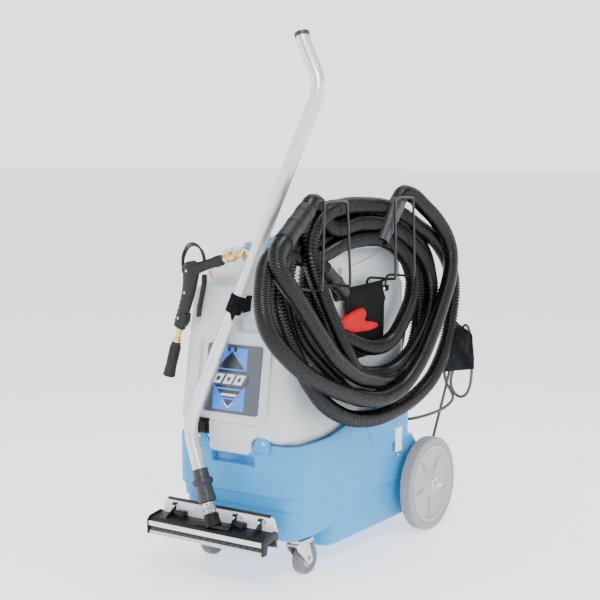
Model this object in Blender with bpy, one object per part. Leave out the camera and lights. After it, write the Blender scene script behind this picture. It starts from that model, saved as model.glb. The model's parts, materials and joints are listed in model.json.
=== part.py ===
"""A hot-water style carpet and floor cleaning machine, in metres, +Z up.

The front faces -Y and the hose hangs on the +X side. Every object is a child of the empty "stand", which moves
the machine so that the middle of its box stands on the origin.
"""

import math

import bmesh
import bpy
import numpy as np
from mathutils import Matrix, Vector

GAP = 0.0003  # between neighbours that touch

# The middle of the whole box, measured from the machine's own centre line.
BOX_MIDDLE = (0.0202, 0.0198)

# Lower, blue tank
BASE_HALF = 0.210
BASE_FRONT = -0.345
BASE_REAR = 0.312
BASE_TOP = 0.385
BASE_BELLY = 0.052
BASE_WALL = 0.008
SHELF_Z = 0.365  # the ledge that the upper tank stands on
NOSE_Z = 0.112  # underside above the casters
NOSE_REAR = -0.175
FOOT_REAR = 0.396  # the lower block that carries the axle

# Upper, grey tank
TANK_HALF = 0.195
TANK_TOP = 0.905
TANK_WALL = 0.007
TANK_DRAW = 0.006  # how much further in than the wall the hollow's outline is drawn
NECK_R = 0.115
LID_Y = -0.040
LID_R = 0.150
LID_HINGE = (0.0, 0.124, 0.918)

# Running gear
WHEEL_R = 0.1465
WHEEL_W = 0.042
WHEEL_X = 0.2346
AXLE_Y = 0.362
AXLE_R = 0.008
CASTER_X = 0.163
CASTER_Y = -0.263
CASTER_TRAIL = 0.035
CASTER_R = 0.0445
CASTER_W = 0.030
PLATE_T = 0.0035

# Hose, its hangers and its coil
HOSE_R = 0.024
WIRE_R = 0.0038
ARM_Z = 0.822
LEG_X = 0.297
HOOKS = {"front": (-0.345, -0.205, -0.222, -0.335), "rear": (0.040, 0.150, 0.140, 0.035)}
HOOK_BARS = {"front": 0.735, "rear": 0.772}  # underside of the bar that clamps each hanger
PORT = (-0.112, 0.7865)  # y and z of the vacuum port in the tank side
HOOK_TOP = 1.056
COIL_HOLE = (-0.080, 0.785, 0.284, 0.124)  # middle y and z, then half sizes
COIL_RIM = (-0.060, 0.730, 0.545, 0.325)

# Wand and floor head
WAND_R = 0.01905
WAND_LEAN = 0.16  # how far the wand leans back for each metre up
WAND_FOOT = (-0.440, 0.200)  # y and z of a point on its plane
HEAD_X = -0.012
HEAD_HALF = 0.200
HEAD_PIVOT = (-0.444, 0.172)

# Spray gun
GUN_Y = -0.341
TRIGGER_X = -0.104
TRIGGER_Z = 0.841

CORD_R = 0.005


def clear_scene():
    for obj in list(bpy.data.objects):
        bpy.data.objects.remove(obj, do_unlink=True)


def paint(name, colour, roughness, metallic=0.0):
    mat = bpy.data.materials.new(name)
    mat.use_nodes = True
    shader = mat.node_tree.nodes["Principled BSDF"]
    shader.inputs["Base Color"].default_value = (*colour, 1.0)
    shader.inputs["Roughness"].default_value = roughness
    shader.inputs["Metallic"].default_value = metallic
    return mat


def place(name, data, mat, at=(0, 0, 0)):
    """Links the data as an object under the stand, with its origin at the point given."""
    obj = bpy.data.objects.new(name, data)
    bpy.context.scene.collection.objects.link(obj)
    obj.parent = STAND
    obj.location = at
    data.materials.append(mat)
    return obj


def finish(name, bm, mat, at=(0, 0, 0), smooth=True):
    """Makes an object of the bmesh, which is drawn about the machine's own zero."""
    bmesh.ops.remove_doubles(bm, verts=bm.verts, dist=0.00001)
    bmesh.ops.recalc_face_normals(bm, faces=bm.faces)
    bmesh.ops.translate(bm, verts=bm.verts, vec=-Vector(at))
    mesh = bpy.data.meshes.new(name)
    bm.to_mesh(mesh)
    bm.free()
    if smooth:
        mesh.shade_smooth()
        mesh.set_sharp_from_angle(angle=math.radians(35))
    return place(name, mesh, mat, at)


def helper(name, bm):
    """A cutter or an added shape for a Boolean, left out of the model."""
    obj = finish(name, bm, STEEL, smooth=False)
    obj.hide_render = True
    obj.display_type = "WIRE"
    return obj


def boolean(obj, other, operation="DIFFERENCE"):
    mod = obj.modifiers.new(f"{operation.lower()} {other.name}", "BOOLEAN")
    mod.object = other
    mod.operation = operation
    mod.solver = "EXACT"


def round_edges(obj, width, segments=2, angle=40):
    mod = obj.modifiers.new("round edges", "BEVEL")
    mod.width = width
    mod.segments = segments
    mod.limit_method = "ANGLE"
    mod.angle_limit = math.radians(angle)


def box(x0, x1, y0, y1, z0, z1, bm=None):
    bm = bm or bmesh.new()
    size = Matrix.Diagonal((x1 - x0, y1 - y0, z1 - z0, 1))
    middle = Matrix.Translation(((x0 + x1) / 2, (y0 + y1) / 2, (z0 + z1) / 2))
    bmesh.ops.create_cube(bm, size=1, matrix=middle @ size)
    return bm


def rod(start, end, radius, end_radius=None, segments=20, bm=None):
    """A closed cylinder or cone from one point to another."""
    bm = bm or bmesh.new()
    start, end = Vector(start), Vector(end)
    way = end - start
    turn = Vector((0, 0, 1)).rotation_difference(way).to_matrix().to_4x4()
    bmesh.ops.create_cone(
        bm,
        cap_ends=True,
        segments=segments,
        radius1=radius,
        radius2=radius if end_radius is None else end_radius,
        depth=way.length,
        matrix=Matrix.Translation((start + end) / 2) @ turn,
    )
    return bm


def turned(profile, centre, axis="Z", segments=32, bm=None):
    """Spins (radius, height) points, listed along the outline, into a closed body round an axis."""
    bm = bm or bmesh.new()
    turn = {
        "Z": Matrix(),
        "X": Matrix.Rotation(math.pi / 2, 4, "Y"),
        "Y": Matrix.Rotation(-math.pi / 2, 4, "X"),
    }
    to_place = Matrix.Translation(centre) @ turn[axis]
    verts = [bm.verts.new(to_place @ Vector((r, 0, h))) for r, h in profile]
    loop = profile[0][0] > 0.00001
    edges = [bm.edges.new(pair) for pair in zip(verts, verts[1:])]
    if loop:
        edges.append(bm.edges.new((verts[-1], verts[0])))
    way = (to_place.to_3x3() @ Vector((0, 0, 1))).normalized()
    bmesh.ops.spin(
        bm, geom=verts + edges, cent=Vector(centre), axis=way, angle=math.tau, steps=segments, use_merge=True
    )
    bmesh.ops.remove_doubles(bm, verts=bm.verts, dist=0.00001)
    return bm


def outline_xy(half, y0, y1, radius, z, steps=4):
    """A rounded rectangle at one height, as a ring of points."""
    points = []
    corners = ((half, y1, 0), (-half, y1, 90), (-half, y0, 180), (half, y0, 270))
    for x, y, first in corners:
        centre = (x - math.copysign(radius, x), y - math.copysign(radius, y - (y0 + y1) / 2))
        for step in range(steps + 1):
            angle = math.radians(first + 90 * step / steps)
            points.append((centre[0] + radius * math.cos(angle), centre[1] + radius * math.sin(angle), z))
    return points


def lofted(rings, bm=None):
    """Joins rings of equal point counts into a closed skin."""
    bm = bm or bmesh.new()
    loops = [[bm.verts.new(point) for point in ring] for ring in rings]
    for lower, upper in zip(loops, loops[1:]):
        for i in range(len(lower)):
            j = (i + 1) % len(lower)
            bm.faces.new((lower[i], lower[j], upper[j], upper[i]))
    bm.faces.new(loops[0][::-1])
    bm.faces.new(loops[-1])
    return bm


def plate(points, axis, low, high, bm=None):
    """Extrudes an outline along an axis: its points are (y, z), (x, z) or (x, y)."""
    bm = bm or bmesh.new()

    def at(a, b, c):
        return {"X": (c, a, b), "Y": (a, c, b), "Z": (a, b, c)}[axis]

    face = bm.faces.new([bm.verts.new(at(*point, low)) for point in points])
    made = bmesh.ops.extrude_face_region(bm, geom=[face])["geom"]
    verts = [item for item in made if isinstance(item, bmesh.types.BMVert)]
    bmesh.ops.translate(bm, verts=verts, vec=Vector(at(0, 0, high - low)))
    return bm


def smooth_points(points, spacing):
    """A Catmull-Rom curve through the points, read at an even spacing."""
    p = np.array([points[0], *points, points[-1]], float)
    dense = []
    for a, b, c, d in zip(p, p[1:], p[2:], p[3:]):
        for t in np.linspace(0, 1, 40, endpoint=False):
            dense.append(
                0.5 * (2 * b + (c - a) * t + (2 * a - 5 * b + 4 * c - d) * t**2 + (3 * b - a - 3 * c + d) * t**3)
            )
    dense.append(p[-1])
    dense = np.array(dense)
    along = np.concatenate([[0], np.cumsum(np.linalg.norm(np.diff(dense, axis=0), axis=1))])
    count = max(3, int(round(along[-1] / spacing)) + 1)
    even = np.linspace(0, along[-1], count)
    return [tuple(float(np.interp(s, along, dense[:, k])) for k in range(3)) for s in even]


def tube(name, points, radius, mat, detail=3, cyclic=False):
    """A round tube on a POLY spline."""
    curve = bpy.data.curves.new(name, "CURVE")
    curve.dimensions = "3D"
    curve.bevel_depth = radius
    curve.bevel_resolution = detail
    curve.use_fill_caps = True
    spline = curve.splines.new("POLY")
    spline.points.add(len(points) - 1)
    for point, place_at in zip(spline.points, points):
        point.co = (*place_at, 1)
    spline.use_cyclic_u = cyclic
    return place(name, curve, mat)


# ---------------------------------------------------------------- tanks


def base_rings():
    """The lower tank's plan at several heights: a narrow foot, a slanted step and a wider upper band."""
    levels = (
        (BASE_BELLY, 0.182, BASE_FRONT + 0.036, FOOT_REAR - 0.012, 0.040),
        (BASE_BELLY + 0.014, 0.194, BASE_FRONT + 0.022, FOOT_REAR, 0.046),
        (0.200, 0.196, BASE_FRONT + 0.018, FOOT_REAR, 0.046),
        (0.238, BASE_HALF, BASE_FRONT, BASE_REAR + 0.030, 0.050),
        (0.262, BASE_HALF, BASE_FRONT, BASE_REAR, 0.050),
        (BASE_TOP, BASE_HALF, BASE_FRONT, BASE_REAR, 0.050),
    )
    return [outline_xy(half, y0, y1, radius, z) for z, half, y0, y1, radius in levels]


def base_cavity():
    """The hollow for water, motor and pump, behind the casters and in front of the axle block."""
    inset = BASE_WALL + 0.012
    rings = (
        (BASE_BELLY + BASE_WALL, 0.165, NOSE_REAR + 0.045, 0.290, 0.030),
        (NOSE_Z + BASE_WALL, 0.175, NOSE_REAR + 0.030, 0.298, 0.030),
        (NOSE_Z + BASE_WALL + 0.004, 0.178, BASE_FRONT + 0.030, 0.298, 0.034),
        (0.240, BASE_HALF - inset, BASE_FRONT + inset, BASE_REAR - 0.010, 0.036),
        (BASE_TOP + 0.02, BASE_HALF - inset, BASE_FRONT + inset, BASE_REAR - 0.014, 0.036),
    )
    return lofted([outline_xy(half, y0, y1, r, z) for z, half, y0, y1, r in rings])


def make_base():
    base = finish("base_tank", lofted(base_rings()), BLUE)
    nose = [
        (BASE_FRONT - 0.02, BASE_BELLY - 0.02),
        (NOSE_REAR + 0.038, BASE_BELLY - 0.02),
        (NOSE_REAR + 0.010, NOSE_Z + 0.012),
        (NOSE_REAR - 0.010, NOSE_Z),
        (BASE_FRONT - 0.02, NOSE_Z),
    ]
    boolean(base, helper("caster_recess_cut", plate(nose, "X", -0.25, 0.25)))
    boolean(base, helper("base_hollow_cut", base_cavity()))
    nest = [
        outline_xy(BASE_HALF - BASE_WALL, BASE_FRONT + BASE_WALL, BASE_REAR - BASE_WALL, 0.044, z)
        for z in (SHELF_Z, BASE_TOP + 0.01)
    ]
    boolean(base, helper("tank_nest_cut", lofted(nest)))
    bore = rod((-0.25, AXLE_Y, WHEEL_R), (0.25, AXLE_Y, WHEEL_R), AXLE_R + GAP)
    boolean(base, helper("axle_bore_cut", bore))
    drain = rod((0.09, FOOT_REAR - 0.14, 0.085), (0.09, FOOT_REAR + 0.02, 0.085), 0.0135)
    boolean(base, helper("drain_bore_cut", drain))


def tank_levels():
    """Height, half width, front, rear and corner radius of the upper tank."""
    return (
        (SHELF_Z + GAP, 0.176, -0.318, 0.282, 0.046),
        (SHELF_Z + 0.022, 0.190, -0.334, 0.298, 0.050),
        (0.400, 0.193, -0.350, 0.300, 0.052),
        (0.440, TANK_HALF, -0.360, 0.300, 0.052),
        (0.650, TANK_HALF, -0.327, 0.300, 0.054),
        (0.776, TANK_HALF, -0.305, 0.300, 0.056),
        (0.797, 0.190, -0.297, 0.297, 0.054),
        (0.803, 0.186, -0.284, 0.294, 0.050),
        (0.806, 0.186, -0.264, 0.294, 0.050),
        (0.832, 0.186, -0.256, 0.292, 0.050),
        (0.884, 0.184, -0.184, 0.286, 0.046),
        (0.900, 0.176, -0.174, 0.276, 0.042),
        (TANK_TOP, 0.166, -0.164, 0.266, 0.038),
    )


def make_tank():
    rings = [outline_xy(half, y0, y1, radius, z) for z, half, y0, y1, radius in tank_levels()]
    tank = finish("recovery_tank", lofted(rings), GREY)
    inset = TANK_WALL + TANK_DRAW
    inner = [
        outline_xy(half - inset, y0 + inset, y1 - inset, radius - TANK_DRAW, z)
        for z, half, y0, y1, radius in (
            (SHELF_Z + 0.030, 0.176, -0.318, 0.282, 0.046),
            (0.440, TANK_HALF, -0.352, 0.300, 0.050),
            (0.650, TANK_HALF, -0.321, 0.300, 0.050),
            (0.776, TANK_HALF, -0.297, 0.300, 0.050),
            (0.826, 0.184, -0.248, 0.292, 0.046),
            (0.876, 0.180, -0.176, 0.284, 0.042),
            (TANK_TOP - 0.010, 0.170, -0.166, 0.270, 0.038),
        )
    ]
    boolean(tank, helper("tank_hollow_cut", lofted(inner)))
    neck = rod((0, LID_Y, TANK_TOP - 0.05), (0, LID_Y, TANK_TOP + 0.02), NECK_R, segments=32)
    boolean(tank, helper("neck_cut", neck))
    tongue = [
        (-0.084, 0.430),
        (-0.080, 0.362),
        (-0.072, 0.352),
        (0.072, 0.352),
        (0.080, 0.362),
        (0.084, 0.430),
    ]
    boolean(tank, helper("tongue_add", plate(tongue, "Y", -0.3625, BASE_FRONT - 0.0012)), "UNION")
    port = rod((0.150, *PORT), (0.230, *PORT), 0.0200, segments=24)
    boolean(tank, helper("port_bore_cut", port))


def make_lid():
    """A shallow domed lid whose rim drops over the neck, with a hinge tab at its rear."""
    z = TANK_TOP + GAP
    profile = [
        (0, z + 0.040),
        (0.060, z + 0.038),
        (0.105, z + 0.031),
        (0.132, z + 0.022),
        (0.146, z + 0.018),
        (LID_R, z + 0.012),
        (LID_R, z),
        (0.118, z),
        (0.118, z + 0.016),
        (0.100, z + 0.024),
        (0, z + 0.032),
    ]
    lid = finish("lid", turned(profile, (0, LID_Y, 0), segments=32), CLEAR_BLUE, at=LID_HINGE)
    tab = box(-0.028, 0.028, LID_Y + LID_R - 0.012, LID_HINGE[1], z + 0.002, LID_HINGE[2] + 0.004)
    boolean(lid, helper("lid_tab_add", tab), "UNION")
    barrel = rod((-0.028, *LID_HINGE[1:]), (0.028, *LID_HINGE[1:]), 0.0075)
    boolean(lid, helper("lid_barrel_add", barrel), "UNION")
    bore = rod((-0.04, *LID_HINGE[1:]), (0.04, *LID_HINGE[1:]), 0.0034)
    boolean(lid, helper("lid_bore_cut", bore))
    y, zh = LID_HINGE[1:]
    foot = box(-0.042, 0.042, y + 0.009, y + 0.030, z, z + 0.004)
    for side in (-1, 1):
        ear = [
            (y - 0.006, zh + 0.006),
            (y - 0.006, z),
            (y + 0.020, z),
            (y + 0.020, z + 0.004),
            (y + 0.006, zh + 0.006),
        ]
        low, high = sorted((side * 0.0288, side * 0.034))
        plate(ear, "X", low, high, foot)
    rod((-0.0335, y, zh), (0.0335, y, zh), 0.0030, bm=foot)
    hinge = finish("lid_hinge", foot, STEEL, smooth=False)
    remesh_union(hinge)


def remesh_union(obj):
    """Joins the overlapping shells of one object into one skin."""
    mod = obj.modifiers.new("join shells", "BOOLEAN")
    mod.object = helper(f"{obj.name}_core", box(0.9, 0.901, 0.9, 0.901, 0.9, 0.901))
    mod.operation = "DIFFERENCE"
    mod.solver = "EXACT"
    mod.use_self = True


def make_label():
    """A flat plate on the leaning front of the upper tank."""
    low, high = (0.463, -0.3575), (0.652, -0.3280)
    lean = math.atan2(high[1] - low[1], high[0] - low[0])
    length = math.hypot(high[0] - low[0], high[1] - low[1])
    bm = box(-0.094, 0.094, -0.0030, 0, 0, length)
    turn = Matrix.Translation((0, low[1] - 0.0012, low[0])) @ Matrix.Rotation(-lean, 4, "X")
    bmesh.ops.transform(bm, matrix=turn, verts=bm.verts)
    label = finish("front_label", bm, LABEL)
    round_edges(label, 0.0008, 1)


# ---------------------------------------------------------------- running gear


def make_caster(side, name):
    """Top plate, swivel fork, wheel and brake pedal of one front caster."""
    x, y = side * CASTER_X, CASTER_Y
    wheel_y = y + CASTER_TRAIL
    top = NOSE_Z - GAP
    under = top - PLATE_T
    pad = box(x - 0.034, x + 0.034, y - 0.030, y + 0.030, under, top)
    round_edges(finish(f"caster_plate_{name}", pad, ZINC), 0.001, 1)

    race = under - GAP
    crown = race - 0.012
    swivel = (x, y, race)
    fork = turned(
        [
            (0, race),
            (0.021, race),
            (0.024, race - 0.004),
            (0.024, crown + 0.002),
            (0.019, crown - 0.003),
            (0, crown - 0.003),
        ],
        (x, y, 0),
        segments=24,
    )
    inner, outer = CASTER_W / 2 + 0.0022, CASTER_W / 2 + 0.0050
    for hand in (-1, 1):
        cheek = [
            (y - 0.017, crown + 0.001),
            (y + 0.026, crown + 0.001),
            (wheel_y + 0.012, CASTER_R + 0.010),
            (wheel_y + 0.010, CASTER_R - 0.010),
            (wheel_y - 0.010, CASTER_R - 0.010),
            (y - 0.012, CASTER_R + 0.022),
        ]
        low, high = sorted((x + hand * inner, x + hand * outer))
        plate(cheek, "X", low, high, fork)
    box(x - outer, x + outer, y - 0.017, y + 0.026, crown - 0.002, crown + 0.001, fork)
    rod((x - outer - 0.004, wheel_y, CASTER_R), (x + outer + 0.004, wheel_y, CASTER_R), 0.0045, bm=fork)
    remesh_union(finish(f"caster_fork_{name}", fork, ZINC, at=swivel, smooth=False))

    rim = [
        (0.0052, -0.0160),
        (0.0120, -0.0160),
        (0.0130, -0.0120),
        (0.0300, -0.0105),
        (0.0330, -0.0145),
        (CASTER_R - 0.004, -CASTER_W / 2),
        (CASTER_R, -CASTER_W / 2 + 0.005),
    ]
    profile = rim + [(r, -h) for r, h in reversed(rim)]
    axle = (x, wheel_y, CASTER_R)
    finish(f"caster_wheel_{name}", turned(profile, axle, "X", 24), TREAD, at=axle)

    hinge = brake_pivot(side)
    pedal = [
        (hinge[1] - 0.004, hinge[2] + 0.0035),
        (hinge[1] + 0.018, hinge[2] + 0.0035),
        (hinge[1] + 0.032, hinge[2] - 0.002),
        (hinge[1] + 0.031, hinge[2] - 0.005),
        (hinge[1] + 0.016, hinge[2] - 0.0015),
        (hinge[1] - 0.004, hinge[2] - 0.0035),
    ]
    lever = finish(f"brake_pedal_{name}", plate(pedal, "X", x - 0.012, x + 0.012), ZINC, at=hinge)
    round_edges(lever, 0.0006, 1)


def brake_pivot(side):
    """Middle of the brake pedal's hinge, behind the fork's crown and above the wheel."""
    return (side * CASTER_X, CASTER_Y + 0.0335, NOSE_Z - 0.0170)


def make_rear_wheel(side, name):
    """A dished grey disc with a hub boss, and the rubber tread round it."""
    centre = (side * WHEEL_X, AXLE_Y, WHEEL_R)
    half = WHEEL_W / 2
    outer = [
        (AXLE_R + 0.0004, half + 0.010),
        (0.019, half + 0.010),
        (0.022, half + 0.002),
        (0.030, half - 0.010),
        (0.095, half - 0.012),
        (0.113, half - 0.004),
        (0.1225, half - 0.002),
    ]
    inner = [
        (0.1225, -half + 0.002),
        (0.110, -half + 0.004),
        (0.092, -half + 0.014),
        (0.030, -half + 0.012),
        (0.022, -half + 0.0004),
        (AXLE_R + 0.0004, -half + 0.0004),
    ]
    profile = [(r, side * h) for r, h in outer + inner]
    finish(f"rear_wheel_{name}", turned(profile, centre, "X", 32), WHEEL, at=centre)
    tread = [
        (0.1229, half - 0.003),
        (0.128, half - 0.001),
        (0.138, half),
        (0.1445, half - 0.003),
        (WHEEL_R, half - 0.009),
    ]
    profile = tread + [(r, -h) for r, h in reversed(tread)]
    finish(f"rear_tyre_{name}", turned(profile, centre, "X", 32), TREAD, at=centre)


def make_axle():
    reach = WHEEL_X + WHEEL_W / 2 + 0.0105
    bm = rod((-reach - 0.010, AXLE_Y, WHEEL_R), (reach + 0.010, AXLE_Y, WHEEL_R), AXLE_R)
    for side in (-1, 1):
        start = side * reach
        rod((start, AXLE_Y, WHEEL_R), (start + side * 0.009, AXLE_Y, WHEEL_R), 0.0135, segments=6, bm=bm)
        end = start + side * 0.018
        rod((start + side * 0.008, AXLE_Y, WHEEL_R), (end, AXLE_Y, WHEEL_R), 0.0115, 0.005, bm=bm)
    remesh_union(finish("rear_axle", bm, CHROME, smooth=False))


# ---------------------------------------------------------------- rear of the machine


def make_handle():
    """A push handle of bent tube on the rear of the upper tank, with a cord hook on its right upright."""
    route = [
        (-0.150, 0.3135, 0.560),
        (-0.150, 0.335, 0.600),
        (-0.150, 0.372, 0.740),
        (-0.150, 0.402, 0.860),
        (-0.146, 0.414, 0.905),
        (-0.120, 0.420, 0.930),
        (0.000, 0.421, 0.934),
        (0.120, 0.420, 0.930),
        (0.146, 0.414, 0.905),
        (0.150, 0.402, 0.860),
        (0.150, 0.372, 0.740),
        (0.150, 0.335, 0.600),
        (0.150, 0.3135, 0.560),
    ]
    tube("rear_handle", smooth_points(route, 0.034), 0.011, BLACK, detail=2)


def make_cord_hook():
    """A steel arm that reaches out from the handle and carries the cord bag."""
    route = [
        (0.1660, 0.352, 0.660),
        (0.1850, 0.395, 0.660),
        (0.1960, 0.465, 0.660),
        (0.2150, 0.494, 0.660),
        (0.3060, 0.4975, 0.660),
    ]
    tube("cord_hook", smooth_points(route, 0.012), 0.005, BLACK, detail=2)


def make_panel():
    """The switch box on the lower tank's rear, with two rocker switches."""
    y = BASE_REAR + GAP
    body = box(-0.130, 0.150, y, y + 0.028, 0.292, 0.372)
    panel = finish("switch_box", body, BLACK)
    for x in (-0.070, -0.010):
        opening = box(x - 0.0125, x + 0.0125, y + 0.016, y + 0.04, 0.330, 0.358)
        boolean(panel, helper(f"switch_cut_{x}", opening))
    cord = rod((0.110, y + 0.012, 0.330), (0.110, y + 0.05, 0.330), 0.0092)
    boolean(panel, helper("gland_cut", cord))
    for number, x in enumerate((-0.070, -0.010), 1):
        pivot = (x, y + 0.0230, 0.344)
        rocker = [
            (y + 0.0225, 0.3325),
            (y + 0.0300, 0.3325),
            (y + 0.0280, 0.3440),
            (y + 0.0330, 0.3555),
            (y + 0.0225, 0.3555),
        ]
        key = plate(rocker, "X", x - 0.0115, x + 0.0115)
        finish(f"rocker_switch_{number}", key, ROCKER, at=pivot, smooth=False)
    relief = turned(
        [(0, y + 0.0125), (0.0088, y + 0.0125), (0.0088, y + 0.034), (0.0070, y + 0.062), (0, y + 0.062)],
        (0.110, 0, 0.330),
        "Y",
        16,
    )
    finish("strain_relief", relief, RUBBER)


def make_drain():
    """A lever ball valve low on the rear block."""
    y = FOOT_REAR
    body = turned(
        [
            (0, y - 0.020),
            (0.0130, y - 0.020),
            (0.0130, y + 0.001),
            (0.0190, y + 0.001),
            (0.0190, y + 0.014),
            (0.0160, y + 0.016),
            (0.0160, y + 0.044),
            (0.0185, y + 0.046),
            (0.0185, y + 0.056),
            (0, y + 0.056),
        ],
        (0.090, 0, 0.085),
        "Y",
        24,
    )
    rod((0.090, y + 0.030, 0.095), (0.090, y + 0.030, 0.1055), 0.0060, bm=body)
    remesh_union(finish("drain_valve", body, BRASS, smooth=False))
    pivot = (0.090, y + 0.030, 0.1060)
    lever = box(0.090 - 0.062, 0.090 + 0.008, y + 0.023, y + 0.037, 0.1060, 0.1090)
    round_edges(finish("drain_lever", lever, RED, at=pivot), 0.001, 1)


def make_insides():
    """Vacuum motor and pump on the floor of the lower tank, and the float shut-off in the upper one."""
    floor = BASE_BELLY + BASE_WALL + 0.0006
    motor = [
        (0, floor),
        (0.066, floor),
        (0.070, floor + 0.006),
        (0.070, floor + 0.060),
        (0.055, floor + 0.066),
        (0.055, floor + 0.130),
        (0.046, floor + 0.142),
        (0, floor + 0.142),
    ]
    finish("vacuum_motor", turned(motor, (-0.060, 0.130, 0), segments=28), STEEL)
    pump = box(0.055, 0.125, 0.040, 0.160, floor, floor + 0.070)
    rod((0.090, 0.150, floor + 0.040), (0.090, 0.230, floor + 0.040), 0.026, bm=pump)
    remesh_union(finish("water_pump", pump, RUBBER, smooth=False))
    inside = SHELF_Z + 0.0306
    pipe = [(0, inside), (0.028, inside), (0.028, inside + 0.006), (0.021, inside + 0.010), (0.021, 0.800)]
    pipe += [(0.027, 0.806), (0.027, 0.850), (0, 0.850)]
    finish("float_shutoff", turned(pipe, (-0.110, 0.200, 0), segments=20), CUFF)


# ---------------------------------------------------------------- hose


def make_hanger(name, legs):
    """One bent wire: feet flat on the tank side, arms out under the hose, and an arch in front of it."""
    low_left, low_right, top_right, top_left = legs
    wall = TANK_HALF + WIRE_R + GAP
    mid = (top_left + top_right) / 2
    spread = (top_right - top_left) / 2
    arch = [
        (LEG_X, mid + spread * math.cos(a), HOOK_TOP - 0.040 + 0.040 * math.sin(a))
        for a in (math.radians(d) for d in (0, 30, 60, 90, 120, 150, 180))
    ]
    right = [
        (wall, low_right, 0.706),
        (wall, low_right, 0.760),
        (wall, low_right, ARM_Z - 0.012),
        (wall + 0.004, low_right, ARM_Z - 0.003),
        (wall + 0.014, low_right, ARM_Z),
        (LEG_X - 0.016, low_right, ARM_Z),
        (LEG_X - 0.004, low_right, ARM_Z + 0.004),
        (LEG_X, low_right, ARM_Z + 0.016),
    ]
    left = [(x, low_left, z) for x, _, z in reversed(right)]
    tube(f"hose_hook_{name}", right + arch + left, WIRE_R, BLACK, detail=2)
    ends = sorted((low_left, low_right))
    low = HOOK_BARS[name]
    bar = box(wall + WIRE_R + GAP, wall + WIRE_R + 0.0034, ends[0] - 0.010, ends[1] + 0.010, low, low + 0.018)
    round_edges(finish(f"hook_bar_{name}", bar, BLACK), 0.001, 1)


def coil_oval(spread, angle):
    """A point between the coil's hole, at spread 0, and its rim, at spread 1."""
    y, z, half_y, half_z = ((1 - spread) * a + spread * b for a, b in zip(COIL_HOLE, COIL_RIM))
    return y + half_y * math.cos(angle), z + half_z * math.sin(angle)


def coil_depths(z):
    """Inner and outer x of the coil: thin where it passes behind the hangers, thick where it hangs free."""
    back = 0.2000 if z > 0.912 else 0.2170
    free = min(1.0, max(0.0, (0.800 - z) / 0.10))
    near = 0.2438 + (0.3450 - 0.2438) * free * free * (3 - 2 * free)
    return back, near


def make_hose_coil():
    """The outer shape of the coiled vacuum hose, an oval ring."""
    bm = bmesh.new()
    section = [
        (0.10, 0.0),
        (0.90, 0.0),
        (1.0, 0.25),
        (1.0, 0.75),
        (0.90, 1.0),
        (0.10, 1.0),
        (0.0, 0.75),
        (0.0, 0.25),
    ]
    steps = 44
    loops = []
    for step in range(steps):
        angle = math.tau * step / steps
        loop = []
        for spread, depth in section:
            y, z = coil_oval(spread, angle)
            back, near = coil_depths(z)
            loop.append(bm.verts.new((back + (near - back) * depth, y, z)))
        loops.append(loop)
    for i, loop in enumerate(loops):
        following = loops[(i + 1) % steps]
        for j in range(len(section)):
            k = (j + 1) % len(section)
            bm.faces.new((loop[j], following[j], following[k], loop[k]))
    finish("hose_coil", bm, BLACK)


def cuff(name, start, end, radius=0.0265):
    """A hose cuff: a plain barrel with a collar at the hose's side."""
    start, end = Vector(start), Vector(end)
    way = (end - start).normalized()
    bm = rod(start, end, radius, radius - 0.002, 24)
    rod(start + way * 0.004, start + way * 0.014, radius + 0.0013, segments=24, bm=bm)
    remesh_union(finish(name, bm, CUFF, smooth=False))


def make_hose_ends():
    """Both cuffs of the hose, and the tank's hose port with its elbow."""
    cuff("hose_cuff_lower", (0.290, -0.512, 0.958), (0.276, -0.388, 1.034))
    cuff("hose_cuff_upper", (0.2682, 0.098, 1.040), (0.2682, 0.010, 0.930), 0.0225)
    y, z = PORT
    elbow = [
        (0.160, y, z),
        (0.2005, y, z),
        (0.2125, y - 0.0026, z + 0.0018),
        (0.2213, y - 0.0099, z + 0.0068),
        (0.2245, y - 0.0198, z + 0.0136),
        (0.2245, y - 0.1180, z + 0.0814),
    ]
    tube("hose_port", elbow, 0.0195, CUFF, detail=4)



def make_pouch():
    """A flat fabric pouch on the tank side, and the red rubber mitt that sticks out of it."""
    side = TANK_HALF + 2 * WIRE_R + 0.0045
    outline = [
        (-0.086, 0.800),
        (0.104, 0.808),
        (0.120, 0.770),
        (0.134, 0.705),
        (0.126, 0.640),
        (-0.084, 0.640),
        (-0.092, 0.700),
    ]
    bag = plate(outline, "X", side, side + 0.009)
    pouch = finish("tool_pouch", bag, FABRIC)
    round_edges(pouch, 0.003, 2)
    palm = [
        (-0.148, 0.706),
        (-0.138, 0.722),
        (-0.050, 0.740),
        (-0.020, 0.736),
        (-0.006, 0.720),
        (-0.022, 0.704),
        (0.020, 0.697),
        (0.050, 0.691),
        (0.054, 0.682),
        (0.026, 0.673),
        (-0.095, 0.674),
        (-0.136, 0.690),
    ]
    mitt = finish("rubber_mitt", plate(palm, "X", side + 0.0093, side + 0.0350), RED)
    round_edges(mitt, 0.006, 2, 25)


# ---------------------------------------------------------------- wand and floor head


def wand_point(x, z):
    """A point of the wand's leaning plane."""
    return (x, WAND_FOOT[0] + WAND_LEAN * (z - WAND_FOOT[1]), z)


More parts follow.
